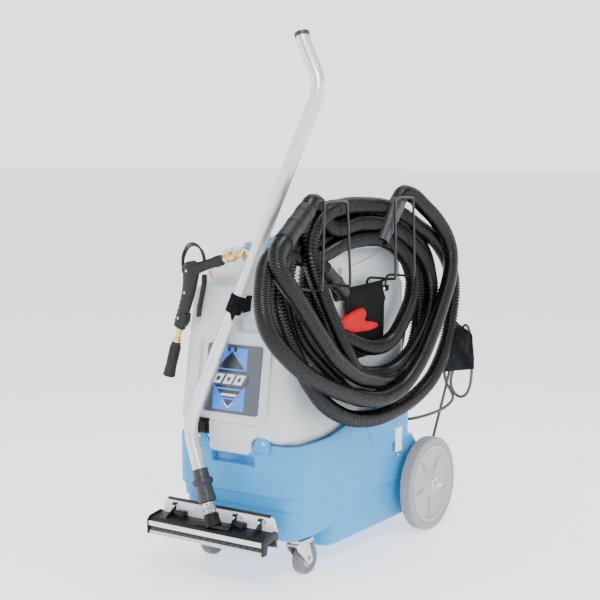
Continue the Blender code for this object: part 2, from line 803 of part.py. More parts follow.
def make_wand():
    bends = [
        (0.155, 1.505),
        (0.165, 1.480),
        (0.196, 1.425),
        (0.2145, 1.393),
        (0.2235, 1.370),
        (0.2255, 1.345),
        (0.2190, 1.318),
        (0.2080, 1.290),
        (0.122, 1.055),
        (0.027, 0.795),
        (-0.060, 0.560),
        (-0.0930, 0.462),
        (-0.0990, 0.435),
        (-0.0985, 0.410),
        (-0.0920, 0.385),
        (-0.052, 0.298),
    ]
    tube("wand_tube", [wand_point(x, z) for x, z in bends], WAND_R, ALUMINIUM, detail=4)
    foot = Vector(wand_point(-0.052, 0.298))
    joint = Vector(wand_point(-0.018, 0.224))
    down = (joint - foot).normalized()
    a = foot + down * GAP
    cuff_bm = rod(a, joint, WAND_R + 0.0035, WAND_R + 0.0050, 24)
    rod(joint - down * 0.016, joint - down * 0.004, WAND_R + 0.0095, segments=24, bm=cuff_bm)
    remesh_union(finish("wand_cuff", cuff_bm, CUFF, smooth=False))
    collar_end = joint + down * 0.016
    collar = rod(joint + down * GAP, collar_end, WAND_R - 0.001, segments=24)
    finish("swivel_collar", collar, CLEAR)
    neck_end = collar_end + down * 0.016
    neck = rod(collar_end + down * GAP, neck_end, WAND_R + 0.001, WAND_R - 0.001, 24)
    finish("head_neck", neck, BLACK)
    return neck_end + down * (2 * GAP), down


def make_wand_holders():
    """The hook-and-loop strap round the wand, and the saddle bracket low on the tank that the tube rests in."""
    low, high = Vector(wand_point(0.0096, 0.748)), Vector(wand_point(0.0251, 0.790))
    band = rod(low, high, WAND_R + 0.0030, segments=28)
    strap = finish("wand_strap", band, FABRIC)
    boolean(strap, helper("strap_cut", rod(low * 2 - high, high * 2 - low, WAND_R + 0.0005, segments=28)))
    x, z = -0.0985, 0.420
    y = wand_point(x, z)[1] + WAND_R + 0.0025
    arm = box(x - 0.014, x + 0.014, y, -0.3605, z - 0.010, z + 0.010)
    saddle = finish("wand_saddle", arm, BLACK)
    boolean(saddle, helper("saddle_tank_cut", box(-0.3, 0.3, -0.3570, -0.2, 0.3, 0.5)))
    round_edges(saddle, 0.0015, 1)


def make_head(socket_top, down):
    """The floor head: a vacuum squeegee in front and a scrub brush on a white carrier plate behind."""
    x0, x1 = HEAD_X - HEAD_HALF, HEAD_X + HEAD_HALF
    pivot = (HEAD_X, *HEAD_PIVOT)
    channel = [
        (-0.463, 0.122),
        (-0.463, 0.150),
        (-0.455, 0.159),
        (-0.412, 0.166),
        (-0.404, 0.160),
        (-0.404, 0.150),
        (-0.446, 0.144),
        (-0.450, 0.122),
    ]
    body = finish("squeegee_head", plate(channel, "X", x0 + 0.004, x1 - 0.004), BLACK, at=pivot, smooth=False)
    socket = rod(socket_top, socket_top + down * 0.034, 0.0205, 0.0235, 24)
    boolean(body, helper("socket_add", socket), "UNION")
    strip = [(-0.4665, 0.136), (-0.4665, 0.150), (-0.4633, 0.150), (-0.4633, 0.136)]
    finish("front_strip", plate(strip, "X", x0, x1), ALUMINIUM, at=pivot, smooth=False)
    blade = [(-0.4662, 0.110), (-0.4662, 0.1355), (-0.4633, 0.1355), (-0.4633, 0.110)]
    finish("squeegee_blade", plate(blade, "X", x0 + 0.001, x1 - 0.001), PALE_RUBBER, at=pivot, smooth=False)
    back = [
        (-0.3910, 0.1500),
        (-0.4036, 0.1502),
        (-0.4036, 0.1640),
        (-0.3960, 0.1640),
        (-0.3960, 0.2030),
        (-0.3910, 0.2030),
    ]
    finish("brush_carrier", plate(back, "X", x0 + 0.002, x1 - 0.002), WHITE, at=pivot, smooth=False)
    brush = box(x0 + 0.004, x1 - 0.004, -0.3965, -0.3835, 0.1180, 0.1497)
    finish("scrub_brush", brush, BRISTLE, at=pivot, smooth=False)


# ---------------------------------------------------------------- spray gun


def gun_point(x, z):
    """A point of the gun's grip plane. Right of the grip, the plane swings back towards the tank."""
    return (x, GUN_Y + 0.28 * max(0.0, x + 0.125), z)


def make_gun():
    """A trigger gun that hangs beside the tank by its outlet, which is plugged into the tank's brass outlet."""
    barrel = rod(gun_point(-0.178, 0.851), gun_point(-0.110, 0.862), 0.0150, 0.0165, 20)
    gun = finish("spray_gun", barrel, BLACK)
    tip = Vector(gun_point(-0.050, 0.8860))
    rise = rod(gun_point(-0.125, 0.860), tip, 0.0155, 0.0120, 20)
    boolean(gun, helper("gun_barrel_add", rise), "UNION")
    grip = [
        (-0.173, 0.850),
        (-0.120, 0.862),
        (-0.128, 0.800),
        (-0.172, 0.690),
        (-0.206, 0.694),
        (-0.176, 0.790),
    ]
    grip_bm = plate(grip, "Y", GUN_Y - 0.012, GUN_Y + 0.012)
    bmesh.ops.bevel(grip_bm, geom=grip_bm.edges[:], offset=0.005, segments=2, affect="EDGES", profile=0.5)
    boolean(gun, helper("gun_grip_add", grip_bm), "UNION")

    pivot = (TRIGGER_X, GUN_Y, TRIGGER_Z)
    blade = [
        (-0.0045, 0.0030),
        (0.0045, 0.0010),
        (0.0040, -0.0250),
        (-0.0160, -0.0830),
        (-0.0220, -0.1200),
        (-0.0265, -0.1190),
        (-0.0220, -0.0810),
        (-0.0040, -0.0250),
    ]
    blade = [(TRIGGER_X + x, TRIGGER_Z + z) for x, z in blade]
    trigger = finish("gun_trigger", plate(blade, "Y", GUN_Y - 0.008, GUN_Y + 0.008), BLACK, at=pivot)
    round_edges(trigger, 0.0010, 1)

    along = (tip - Vector(gun_point(-0.125, 0.860))).normalized()
    start = tip + along * GAP
    coupling = rod(start, start + along * 0.014, 0.0085, segments=6)
    rod(start + along * 0.012, start + along * 0.034, 0.0115, segments=16, bm=coupling)
    rod(start + along * 0.032, start + along * 0.048, 0.0080, segments=16, bm=coupling)
    remesh_union(finish("gun_coupling", coupling, BRASS, smooth=False))
    end = start + along * (0.048 + GAP)
    outlet = rod(end, end + along * 0.016, 0.0100, segments=6)
    corner = end + along * 0.020
    bmesh.ops.create_uvsphere(outlet, u_segments=16, v_segments=8, radius=0.0115, matrix=Matrix.Translation(corner))
    seat = Vector((corner.x, -0.2360, 0.8580))
    rod(corner, seat, 0.0085, segments=16, bm=outlet)
    rod(seat + Vector((0, -0.0060, 0.0060)), seat + Vector((0, 0.0005, -0.0002)), 0.0135, segments=6, bm=outlet)
    remesh_union(finish("water_outlet", outlet, BRASS, smooth=False))

    neck = [
        (0, 0),
        (0.0090, 0),
        (0.0090, -0.008),
        (0.0058, -0.014),
        (0.0058, -0.028),
        (0.0085, -0.036),
        (0.0085, -0.044),
        (0, -0.044),
    ]
    top = Vector((-0.1895, GUN_Y, 0.6870))
    aim = Vector((-0.30, 0, -1)).normalized()
    gun_end("gun_neck", neck, top, aim, BRASS)
    nozzle = [(0, 0), (0.0145, 0), (0.0160, -0.012), (0.0160, -0.074), (0.0135, -0.080), (0.0150, -0.090)]
    nozzle += [(0.0185, -0.098), (0.0185, -0.104), (0, -0.104)]
    gun_end("spray_nozzle", nozzle, top + aim * (0.044 + GAP), aim, BLACK)


def gun_end(name, profile, top, aim, mat):
    """A turned piece that hangs from the grip's lower end along its aim."""
    bm = turned(profile, (0, 0, 0), segments=20)
    turn = Vector((0, 0, -1)).rotation_difference(aim).to_matrix().to_4x4()
    bmesh.ops.transform(bm, matrix=Matrix.Translation(top) @ turn, verts=bm.verts)
    finish(name, bm, mat)


# ---------------------------------------------------------------- power cord

CORD_EXIT = (0.110, BASE_REAR + GAP + 0.0623, 0.330)
CORD_ROUTE = [
    (0.110, 0.386, 0.330),
    (0.120, 0.402, 0.330),
    (0.145, 0.420, 0.332),
    (0.175, 0.455, 0.340),
    (0.200, 0.500, 0.352),
    (0.226, 0.515, 0.372),
    (0.240, 0.517, 0.396),
    (0.230, 0.518, 0.420),
    (0.212, 0.518, 0.450),
    (0.205, 0.517, 0.510),
    (0.214, 0.516, 0.580),
    (0.238, 0.516, 0.632),
    (0.256, 0.517, 0.600),
    (0.246, 0.518, 0.520),
    (0.231, 0.519, 0.450),
    (0.240, 0.521, 0.415),
    (0.262, 0.522, 0.400),
    (0.286, 0.522, 0.412),
    (0.300, 0.522, 0.450),
    (0.304, 0.521, 0.510),
    (0.300, 0.521, 0.590),
    (0.282, 0.524, 0.634),
    (0.258, 0.531, 0.610),
    (0.225, 0.541, 0.520),
    (0.190, 0.552, 0.400),
    (0.150, 0.572, 0.270),
    (0.115, 0.590, 0.140),
    (0.088, 0.600, 0.045),
    (0.055, 0.602, 0.0085),
    (0.0180, 0.600, 0.0062),
]
COIL_MIDDLE = (-0.070, 0.600)
COIL_R = 0.062
COIL_HALF = 0.0250
COIL_HEIGHT = 0.054


def make_cord():
    """The visible loops behind the bag, then the rest as a round coil on the floor, with the plug beside it."""
    tube("power_cord", [CORD_EXIT, *smooth_points(CORD_ROUTE, 0.026)], CORD_R, CORD_GREY, detail=2)
    x, y = COIL_MIDDLE
    low = 0.0006
    profile = [
        (COIL_R - COIL_HALF, low + 0.010),
        (COIL_R - COIL_HALF + 0.010, low),
        (COIL_R + COIL_HALF - 0.010, low),
        (COIL_R + COIL_HALF, low + 0.010),
        (COIL_R + COIL_HALF, low + COIL_HEIGHT - 0.010),
        (COIL_R + COIL_HALF - 0.010, low + COIL_HEIGHT),
        (COIL_R - COIL_HALF + 0.010, low + COIL_HEIGHT),
        (COIL_R - COIL_HALF, low + COIL_HEIGHT - 0.010),
    ]
    finish("cord_coil", turned(profile, (x, y, 0), segments=28), CORD_GREY)
    start = Vector((x - 0.0625, y + COIL_R + 0.006, 0.0150))
    plug = rod(start, start - Vector((0.026, 0, 0)), 0.0058, 0.0090, 16)
    box(start.x - 0.060, start.x - 0.024, start.y - 0.0150, start.y + 0.0150, 0.0030, 0.0270, plug)
    for side, z in ((-0.0065, 0.0180), (0.0065, 0.0180)):
        prong = start.y + side
        box(start.x - 0.077, start.x - 0.058, prong - 0.0008, prong + 0.0008, z - 0.0032, z + 0.0032, plug)
    rod((start.x - 0.058, start.y, 0.0085), (start.x - 0.079, start.y, 0.0085), 0.0024, segments=12, bm=plug)
    remesh_union(finish("power_plug", plug, BLACK, smooth=False))


def make_cord_bag():
    """A black padded wrap that hangs from the cord hook and covers the top of the cord's loops."""
    outline = [(0.214, 0.478), (0.214, 0.6535), (0.286, 0.6535), (0.312, 0.622), (0.325, 0.505)]
    bag = finish("cord_bag", plate(outline, "Y", 0.4870, 0.5050), BLACK)
    round_edges(bag, 0.004, 2)


clear_scene()
STAND = bpy.data.objects.new("stand", None)
bpy.context.scene.collection.objects.link(STAND)
STAND.location = (-BOX_MIDDLE[0], -BOX_MIDDLE[1], 0)

BLUE = paint("blue polyethylene", (0.17, 0.48, 0.76), 0.5)
GREY = paint("grey polyethylene", (0.72, 0.75, 0.78), 0.42)
CLEAR_BLUE = paint("lid blue", (0.05, 0.32, 0.62), 0.3)
LABEL = paint("label", (0.10, 0.12, 0.15), 0.35)
STEEL = paint("steel", (0.55, 0.56, 0.58), 0.35, 1.0)
ZINC = paint("zinc plate", (0.62, 0.62, 0.60), 0.38, 1.0)
CHROME = paint("chrome", (0.80, 0.80, 0.80), 0.12, 1.0)
BRASS = paint("brass", (0.72, 0.50, 0.18), 0.28, 1.0)
ALUMINIUM = paint("brushed aluminium", (0.80, 0.80, 0.80), 0.28, 1.0)
WHEEL = paint("wheel grey", (0.50, 0.50, 0.51), 0.45)
TREAD = paint("grey rubber", (0.42, 0.42, 0.43), 0.6)
BLACK = paint("black plastic", (0.012, 0.012, 0.014), 0.4)
CUFF = paint("dark grey plastic", (0.035, 0.037, 0.042), 0.4)
RUBBER = paint("black rubber", (0.02, 0.02, 0.02), 0.6)
PALE_RUBBER = paint("pale rubber", (0.55, 0.55, 0.55), 0.5)
FABRIC = paint("black fabric", (0.03, 0.03, 0.035), 0.85)
RED = paint("red rubber", (0.85, 0.08, 0.11), 0.45)
ROCKER = paint("rocker", (0.03, 0.03, 0.03), 0.3)
WHITE = paint("white plastic", (0.82, 0.83, 0.84), 0.4)
BRISTLE = paint("bristle", (0.03, 0.02, 0.02), 0.8)
CLEAR = paint("clear plastic", (0.75, 0.77, 0.78), 0.1)
CORD_GREY = paint("cord grey", (0.16, 0.16, 0.17), 0.5)

make_base()
make_tank()
make_lid()
make_label()
for hand, side_name in ((-1, "left"), (1, "right")):
    make_caster(hand, side_name)
    make_rear_wheel(hand, side_name)
make_axle()
make_handle()
make_cord_hook()
make_panel()
make_drain()
make_insides()
for hook, hook_legs in HOOKS.items():
    make_hanger(hook, hook_legs)
make_hose_coil()
make_hose_ends()
make_pouch()
socket_start, wand_down = make_wand()
make_wand_holders()
make_head(socket_start, wand_down)
make_gun()
make_cord()
make_cord_bag()
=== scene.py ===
import json
import math
import random

import bmesh
import bpy
from mathutils import Matrix, Vector, noise

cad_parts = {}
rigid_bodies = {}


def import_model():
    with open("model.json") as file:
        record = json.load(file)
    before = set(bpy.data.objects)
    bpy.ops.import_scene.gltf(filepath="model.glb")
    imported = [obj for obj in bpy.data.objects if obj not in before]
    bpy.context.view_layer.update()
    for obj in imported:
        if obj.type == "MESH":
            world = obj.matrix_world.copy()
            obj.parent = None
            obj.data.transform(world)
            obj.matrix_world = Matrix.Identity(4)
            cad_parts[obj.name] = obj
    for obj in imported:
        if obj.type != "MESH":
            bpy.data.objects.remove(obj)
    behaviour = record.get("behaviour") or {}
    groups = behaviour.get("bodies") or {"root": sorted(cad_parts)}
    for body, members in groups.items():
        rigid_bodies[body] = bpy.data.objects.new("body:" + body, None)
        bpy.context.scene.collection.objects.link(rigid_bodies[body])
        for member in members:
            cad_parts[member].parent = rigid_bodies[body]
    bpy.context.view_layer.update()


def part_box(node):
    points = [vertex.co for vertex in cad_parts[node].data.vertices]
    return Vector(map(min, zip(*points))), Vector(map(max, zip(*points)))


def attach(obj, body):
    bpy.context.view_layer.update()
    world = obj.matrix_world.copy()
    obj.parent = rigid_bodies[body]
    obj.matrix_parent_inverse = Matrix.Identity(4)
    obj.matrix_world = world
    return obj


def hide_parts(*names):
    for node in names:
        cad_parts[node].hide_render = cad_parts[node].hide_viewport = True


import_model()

# Measures are in metres about the machine's own centre line: +X is the hose's side and -Y the front.
# middle is where the box of the whole machine has its centre on that line's axes.
middle = Vector((0.0202, 0.0198, 0.0))


def here(x, y, z):
    return Vector((x, y, z)) - middle


# camera

view = {"from": (2.155, -3.189, 1.181), "at": (-0.0071, 0.0, 0.7456), "lens": 77.97}


def makeCamera():
    data = bpy.data.cameras.new("studioCamera")
    data.lens = view["lens"]
    data.sensor_width = 36.0
    camera = bpy.data.objects.new("studioCamera", data)
    bpy.context.scene.collection.objects.link(camera)
    camera.location = here(*view["from"])
    look = here(*view["at"]) - camera.location
    camera.rotation_euler = look.to_track_quat("-Z", "Y").to_euler()
    bpy.context.scene.camera = camera


# paint shop: every finish is procedural, on Object coordinates

finishes = {}


def node(tree, kind, **inputs):
    made = tree.nodes.new(kind)
    for name, value in inputs.items():
        made.inputs[name.replace("_", " ")].default_value = value
    return made


def rgba(colour):
    return (*colour, 1.0)


def shade(colour, by):
    return tuple(min(1.0, max(0.0, c * by)) for c in colour)


def spotMap(tree, scale, detail=3.0, rough=0.55, stretch=None):
    place = tree.nodes.new("ShaderNodeTexCoord")
    spot = node(tree, "ShaderNodeTexNoise", Scale=scale, Detail=detail, Roughness=rough)
    if stretch:
        turn = tree.nodes.new("ShaderNodeMapping")
        turn.inputs["Scale"].default_value = stretch
        tree.links.new(place.outputs["Object"], turn.inputs["Vector"])
        tree.links.new(turn.outputs["Vector"], spot.inputs["Vector"])
    else:
        tree.links.new(place.outputs["Object"], spot.inputs["Vector"])
    return spot


def ramp(tree, source, stops):
    band = tree.nodes.new("ShaderNodeValToRGB")
    elements = band.color_ramp.elements
    for extra in range(len(stops) - 2):
        elements.new(0.5)
    for element, (at, colour) in zip(elements, stops):
        element.position = at
        element.color = rgba(colour)
    tree.links.new(source, band.inputs["Fac"])
    return band.outputs["Color"]


def paint(name, colour, rough, metal=0.0, mottle=(6.0, 0.06), grain=(900.0, 0.08), gloss=0.5, coat=0.0,
          stretch=None, speck=None, sheen=0.0, roughSpread=0.08):
    mat = bpy.data.materials.new(name)
    mat.use_nodes = True
    tree = mat.node_tree
    skin = tree.nodes["Principled BSDF"]
    skin.inputs["Metallic"].default_value = metal
    skin.inputs["Specular IOR Level"].default_value = gloss
    skin.inputs["Coat Weight"].default_value = coat
    skin.inputs["Coat Roughness"].default_value = 0.12
    skin.inputs["Sheen Weight"].default_value = sheen
    scale, amount = mottle
    spot = spotMap(tree, scale)
    stops = [(0.25, shade(colour, 1 - amount)), (0.75, shade(colour, 1 + amount))]
    tone = ramp(tree, spot.outputs["Fac"], stops)
    if speck:
        speckScale, speckColour, share = speck
        dust = spotMap(tree, speckScale, 2.0)
        mask = ramp(tree, dust.outputs["Fac"], [(0.6, (0, 0, 0)), (0.72, (share,) * 3)])
        blend = tree.nodes.new("ShaderNodeMix")
        blend.data_type = "RGBA"
        tree.links.new(mask, blend.inputs[0])
        tree.links.new(tone, blend.inputs[6])
        blend.inputs[7].default_value = rgba(speckColour)
        tone = blend.outputs[2]
    tree.links.new(tone, skin.inputs["Base Color"])
    wear = spotMap(tree, scale * 7.0, 4.0)
    even = node(tree, "ShaderNodeMapRange")
    even.inputs["To Min"].default_value = max(0.02, rough - roughSpread)
    even.inputs["To Max"].default_value = min(1.0, rough + roughSpread)
    tree.links.new(wear.outputs["Fac"], even.inputs["Value"])
    tree.links.new(even.outputs["Result"], skin.inputs["Roughness"])
    grainScale, strength = grain
    fine = spotMap(tree, grainScale, 2.0, 0.5, stretch)
    bump = node(tree, "ShaderNodeBump", Strength=strength, Distance=0.001)
    tree.links.new(fine.outputs["Fac"], bump.inputs["Height"])
    tree.links.new(bump.outputs["Normal"], skin.inputs["Normal"])
    finishes[name] = mat
    return mat


def weave(name, colour, rough, threads=900.0, strength=0.5):
    mat = paint(name, colour, rough, mottle=(18.0, 0.22), gloss=0.08)
    tree = mat.node_tree
    place = tree.nodes.new("ShaderNodeTexCoord")
    heights = []
    for direction in ("X", "Y", "Z"):
        wave = node(tree, "ShaderNodeTexWave", Scale=threads / 6.283, Distortion=0.6, Detail=1.0)
        wave.bands_direction = direction
        tree.links.new(place.outputs["Object"], wave.inputs["Vector"])
        heights.append(wave.outputs["Fac"])
    first = tree.nodes.new("ShaderNodeMath")
    first.operation = "MULTIPLY"
    tree.links.new(heights[1], first.inputs[0])
    tree.links.new(heights[2], first.inputs[1])
    total = tree.nodes.new("ShaderNodeMath")
    tree.links.new(first.outputs[0], total.inputs[0])
    tree.links.new(heights[0], total.inputs[1])
    bump = node(tree, "ShaderNodeBump", Strength=strength, Distance=0.0008)
    tree.links.new(total.outputs[0], bump.inputs["Height"])
    tree.links.new(bump.outputs["Normal"], tree.nodes["Principled BSDF"].inputs["Normal"])
    return mat


def mixPaints():
    paint("blueShell", (0.018, 0.29, 0.64), 0.46, mottle=(5.0, 0.06), grain=(230.0, 0.75),
          speck=(190.0, (0.16, 0.47, 0.8), 0.45))
    paint("greyShell", (0.56, 0.6, 0.628), 0.38, mottle=(3.0, 0.03), grain=(320.0, 0.16),
          speck=(90.0, (0.64, 0.68, 0.71), 0.25))
    paint("blueLid", (0.012, 0.19, 0.52), 0.28, mottle=(8.0, 0.08), grain=(300.0, 0.08), coat=0.3)
    paint("labelGrey", (0.045, 0.055, 0.075), 0.3, mottle=(60.0, 0.12), coat=0.4)
    paint("labelBlue", (0.015, 0.2, 0.72), 0.28, mottle=(40.0, 0.15), coat=0.4)
    paint("labelDark", (0.012, 0.014, 0.018), 0.3, mottle=(70.0, 0.3), coat=0.4)
    paint("labelPale", (0.62, 0.68, 0.74), 0.3, mottle=(80.0, 0.08), coat=0.4)
    paint("stickerWhite", (0.86, 0.87, 0.86), 0.45, mottle=(40.0, 0.04))
    paint("wheelGrey", (0.4, 0.4, 0.42), 0.46, mottle=(10.0, 0.05), grain=(500.0, 0.14),
          speck=(60.0, (0.4, 0.4, 0.41), 0.3))
    paint("treadGrey", (0.3, 0.295, 0.3), 0.62, mottle=(14.0, 0.08), grain=(700.0, 0.3),
          speck=(45.0, (0.3, 0.29, 0.28), 0.5))
    paint("casterRubber", (0.15, 0.145, 0.14), 0.6, mottle=(22.0, 0.12), grain=(700.0, 0.3),
          speck=(60.0, (0.16, 0.15, 0.14), 0.6))
    paint("zinc", (0.68, 0.68, 0.665), 0.3, 1.0, mottle=(45.0, 0.16), grain=(600.0, 0.03),
          speck=(120.0, (0.45, 0.43, 0.38), 0.35))
    paint("steel", (0.56, 0.565, 0.58), 0.34, 1.0, mottle=(30.0, 0.1), grain=(500.0, 0.03))
    paint("chrome", (0.82, 0.825, 0.835), 0.1, 1.0, mottle=(20.0, 0.03), grain=(200.0, 0.004),
          roughSpread=0.04)
    paint("blackCoat", (0.003, 0.003, 0.0035), 0.34, mottle=(20.0, 0.2), grain=(1400.0, 0.22), coat=0.25)
    paint("blackPlastic", (0.004, 0.004, 0.005), 0.38, mottle=(26.0, 0.25), grain=(1600.0, 0.28),
          gloss=0.28)
    paint("gunBlack", (0.009, 0.0095, 0.011), 0.44, mottle=(30.0, 0.25), grain=(1500.0, 0.35), gloss=0.32)
    paint("darkGrey", (0.022, 0.024, 0.029), 0.38, mottle=(24.0, 0.15), grain=(1200.0, 0.16))
    paint("softBlack", (0.007, 0.007, 0.008), 0.58, mottle=(30.0, 0.2), grain=(1300.0, 0.3))
    paint("brass", (0.76, 0.52, 0.2), 0.24, 1.0, mottle=(60.0, 0.1), grain=(900.0, 0.08),
          speck=(140.0, (0.42, 0.26, 0.1), 0.3))
    paint("redGrip", (0.62, 0.02, 0.02), 0.34, mottle=(30.0, 0.1), coat=0.3)
    paint("aluminium", (0.7, 0.7, 0.71), 0.34, 0.75, mottle=(9.0, 0.05), grain=(260.0, 0.1),
          stretch=(12.0, 12.0, 0.5))
    paint("milkyClear", (0.42, 0.44, 0.455), 0.14, 0.75, mottle=(50.0, 0.2), grain=(300.0, 0.05),
          coat=0.6)
    paint("paleRubber", (0.56, 0.57, 0.58), 0.42, mottle=(40.0, 0.08), grain=(900.0, 0.15))
    paint("whiteSheet", (0.8, 0.815, 0.83), 0.36, mottle=(12.0, 0.03), grain=(700.0, 0.08),
          speck=(50.0, (0.62, 0.63, 0.64), 0.35))
    paint("bristleDark", (0.02, 0.016, 0.016), 0.55, mottle=(200.0, 0.4))
    paint("bristleRed", (0.18, 0.018, 0.022), 0.5, mottle=(200.0, 0.3))
    paint("hoseBlack", (0.0014, 0.0014, 0.002), 0.27, mottle=(12.0, 0.3), grain=(500.0, 0.04), gloss=0.3,
          roughSpread=0.04)
    paint("jacketGrey", (0.055, 0.052, 0.052), 0.3, mottle=(25.0, 0.15), grain=(700.0, 0.06), coat=0.4)
    paint("mittRed", (0.46, 0.001, 0.006), 0.6, mottle=(26.0, 0.12), grain=(420.0, 0.5), gloss=0.15)
    paint("wrapBlack", (0.003, 0.003, 0.0035), 0.36, mottle=(22.0, 0.3), grain=(600.0, 0.3))
    weave("pouchCloth", (0.009, 0.0095, 0.011), 0.8, 2600.0)
    weave("strapCloth", (0.007, 0.007, 0.01), 0.88, 3600.0)
    print("finishes mixed:", len(finishes))


# bench tools


def settle(obj, body, stands=(), mats=()):
    for mat in mats:
        obj.data.materials.append(finishes[mat])
    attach(obj, body)
    if stands:
        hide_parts(*stands)
    return obj


def bevelled(obj, width, segments=3, angle=30):
    mod = obj.modifiers.new("softEdges", "BEVEL")
    mod.width = width
    mod.segments = segments
    mod.limit_method = "ANGLE"
    mod.angle_limit = math.radians(angle)
    mod.harden_normals = True
    return obj


def smoothed(obj, levels):
    mod = obj.modifiers.new("smoothSkin", "SUBSURF")
    mod.levels = levels
    mod.render_levels = levels
    return obj


def piece(name, bm, mats, body="machine", stands=(), sharp=35, edge=None, levels=0):
    bmesh.ops.remove_doubles(bm, verts=bm.verts, dist=0.00002)
    bmesh.ops.recalc_face_normals(bm, faces=bm.faces)
    bmesh.ops.translate(bm, verts=bm.verts, vec=-middle)
    mesh = bpy.data.meshes.new(name)
    bm.to_mesh(mesh)
    bm.free()
    mesh.shade_smooth()
    if sharp:
        mesh.set_sharp_from_angle(angle=math.radians(sharp))
    obj = bpy.data.objects.new(name, mesh)
    bpy.context.scene.collection.objects.link(obj)
    settle(obj, body, stands, [mats] if isinstance(mats, str) else mats)
    if edge:
        bevelled(obj, *edge)
    if levels:
        smoothed(obj, levels)
    return obj


def towards(way):
    return Vector((0, 0, 1)).rotation_difference(Vector(way)).to_matrix().to_4x4()


def easedEdges(bm, edges, width, segments):
    bmesh.ops.bevel(bm, geom=list(edges), offset=width, affect="EDGES", segments=segments, profile=0.5,
                    material=-1)


def block(bm, low, high, edge=0.0, segments=2, mat=0):
    low, high = Vector(low), Vector(high)
    size = high - low
    made = bmesh.ops.create_cube(bm, size=1,
                                 matrix=Matrix.Translation((low + high) / 2) @ Matrix.Diagonal((*size, 1)))
    verts = made["verts"]
    faces = {f for v in verts for f in v.link_faces}
    for face in faces:
        face.material_index = mat
    if edge:
        easedEdges(bm, {e for v in verts for e in v.link_edges}, edge, segments)
    return bm


def drum(bm, start, end, radius, endRadius=None, segments=24, mat=0, edge=0.0):
    start, end = Vector(start), Vector(end)
    way = end - start
    made = bmesh.ops.create_cone(
        bm, cap_ends=True, segments=segments, radius1=radius,
        radius2=radius if endRadius is None else endRadius, depth=way.length,
        matrix=Matrix.Translation((start + end) / 2) @ towards(way),
    )
    faces = {f for v in made["verts"] for f in v.link_faces}
    for face in faces:
        face.material_index = mat
    if edge:
        rims = {e for f in faces if len(f.verts) > 4 for e in f.edges}
        easedEdges(bm, rims, edge, 2)
    return bm


def spun(bm, profile, at, way=(0, 0, 1), steps=48, mat=0):
    # profile holds (radius, along) pairs in order down the outline; radius 0 closes it on the axis
    frameOf = Matrix.Translation(Vector(at)) @ towards(way)
    verts = [bm.verts.new(frameOf @ Vector((r, 0, a))) for r, a in profile]
    edges = [bm.edges.new(pair) for pair in zip(verts, verts[1:])]
    if profile[0][0] > 1e-5:
        edges.append(bm.edges.new((verts[-1], verts[0])))
    axis = (frameOf.to_3x3() @ Vector((0, 0, 1))).normalized()
    before = set(bm.faces)
    bmesh.ops.spin(bm, geom=verts + edges, cent=Vector(at), axis=axis, angle=math.tau, steps=steps,
                   use_merge=True)
    for face in set(bm.faces) - before:
        face.material_index = mat
    return bm


def rounded(profile, radius, steps=3):
    # rounds the corners of a (radius, along) outline with short arcs
    points = [Vector(p) for p in profile]
    made = [points[0]]
    for a, b, c in zip(points, points[1:], points[2:]):
        reach = min(radius, (a - b).length * 0.45, (c - b).length * 0.45)
        first, last = b + (a - b).normalized() * reach, b + (c - b).normalized() * reach
        for i in range(steps + 1):
            t = i / steps
            made.append(first * (1 - t) ** 2 + b * 2 * t * (1 - t) + last * t ** 2)
    made.append(points[-1])
    return [tuple(p) for p in made]


def ridges(bm, at, way, count, radius, along, size):
    # small blocks set evenly round an axis
    for i in range(count):
        turn = towards(way) @ Matrix.Rotation(math.tau * i / count, 4, "Z")
        rib = Matrix.Translation(at) @ turn @ Matrix.Translation((radius, 0, along))
        bmesh.ops.create_cube(bm, size=1, matrix=rib @ Matrix.Diagonal((*size, 1)))


def cutOut(bm, outline, axis, low, high, mat=0, edge=0.0, segments=2):
    # a flat outline given a thickness along an axis: points are (y, z), (x, z) or (x, y)
    def at(a, b, c):
        return {"X": (c, a, b), "Y": (a, c, b), "Z": (a, b, c)}[axis]

    face = bm.faces.new([bm.verts.new(at(*point, low)) for point in outline])
    made = bmesh.ops.extrude_face_region(bm, geom=[face])["geom"]
    top = [v for v in made if isinstance(v, bmesh.types.BMVert)]
    bmesh.ops.translate(bm, verts=top, vec=Vector(at(0, 0, high - low)))
    verts = set(face.verts) | set(top)
    faces = {f for v in verts for f in v.link_faces}
    for f in faces:
        f.material_index = mat
    if edge:
        easedEdges(bm, {e for v in verts for e in v.link_edges}, edge, segments)
    return bm


def arcPoints(middleAt, radius, first, last, steps):
    return [
        (middleAt[0] + radius * math.cos(math.radians(first + (last - first) * i / steps)),
         middleAt[1] + radius * math.sin(math.radians(first + (last - first) * i / steps)))
        for i in range(steps + 1)
    ]


def smoothRoute(points, spacing):
    # a smooth curve through the points, read at an even spacing
    p = [Vector(points[0]), *map(Vector, points), Vector(points[-1])]
    dense = []
    for a, b, c, d in zip(p, p[1:], p[2:], p[3:]):
        for i in range(40):
            t = i / 40
            dense.append(0.5 * (2 * b + (c - a) * t + (2 * a - 5 * b + 4 * c - d) * t ** 2
                                + (3 * b - a - 3 * c + d) * t ** 3))
    dense.append(p[-1])
    along = [0.0]
    for a, b in zip(dense, dense[1:]):
        along.append(along[-1] + (b - a).length)
    count = max(3, round(along[-1] / spacing) + 1)
    even, k = [], 0
    for i in range(count):
        s = along[-1] * i / (count - 1)
        while k < len(along) - 2 and along[k + 1] < s:
            k += 1
        t = (s - along[k]) / max(1e-9, along[k + 1] - along[k])
        even.append(dense[k].lerp(dense[k + 1], min(1.0, max(0.0, t))))
    return even


def routeLength(points):
    return sum((b - a).length for a, b in zip(points, points[1:]))


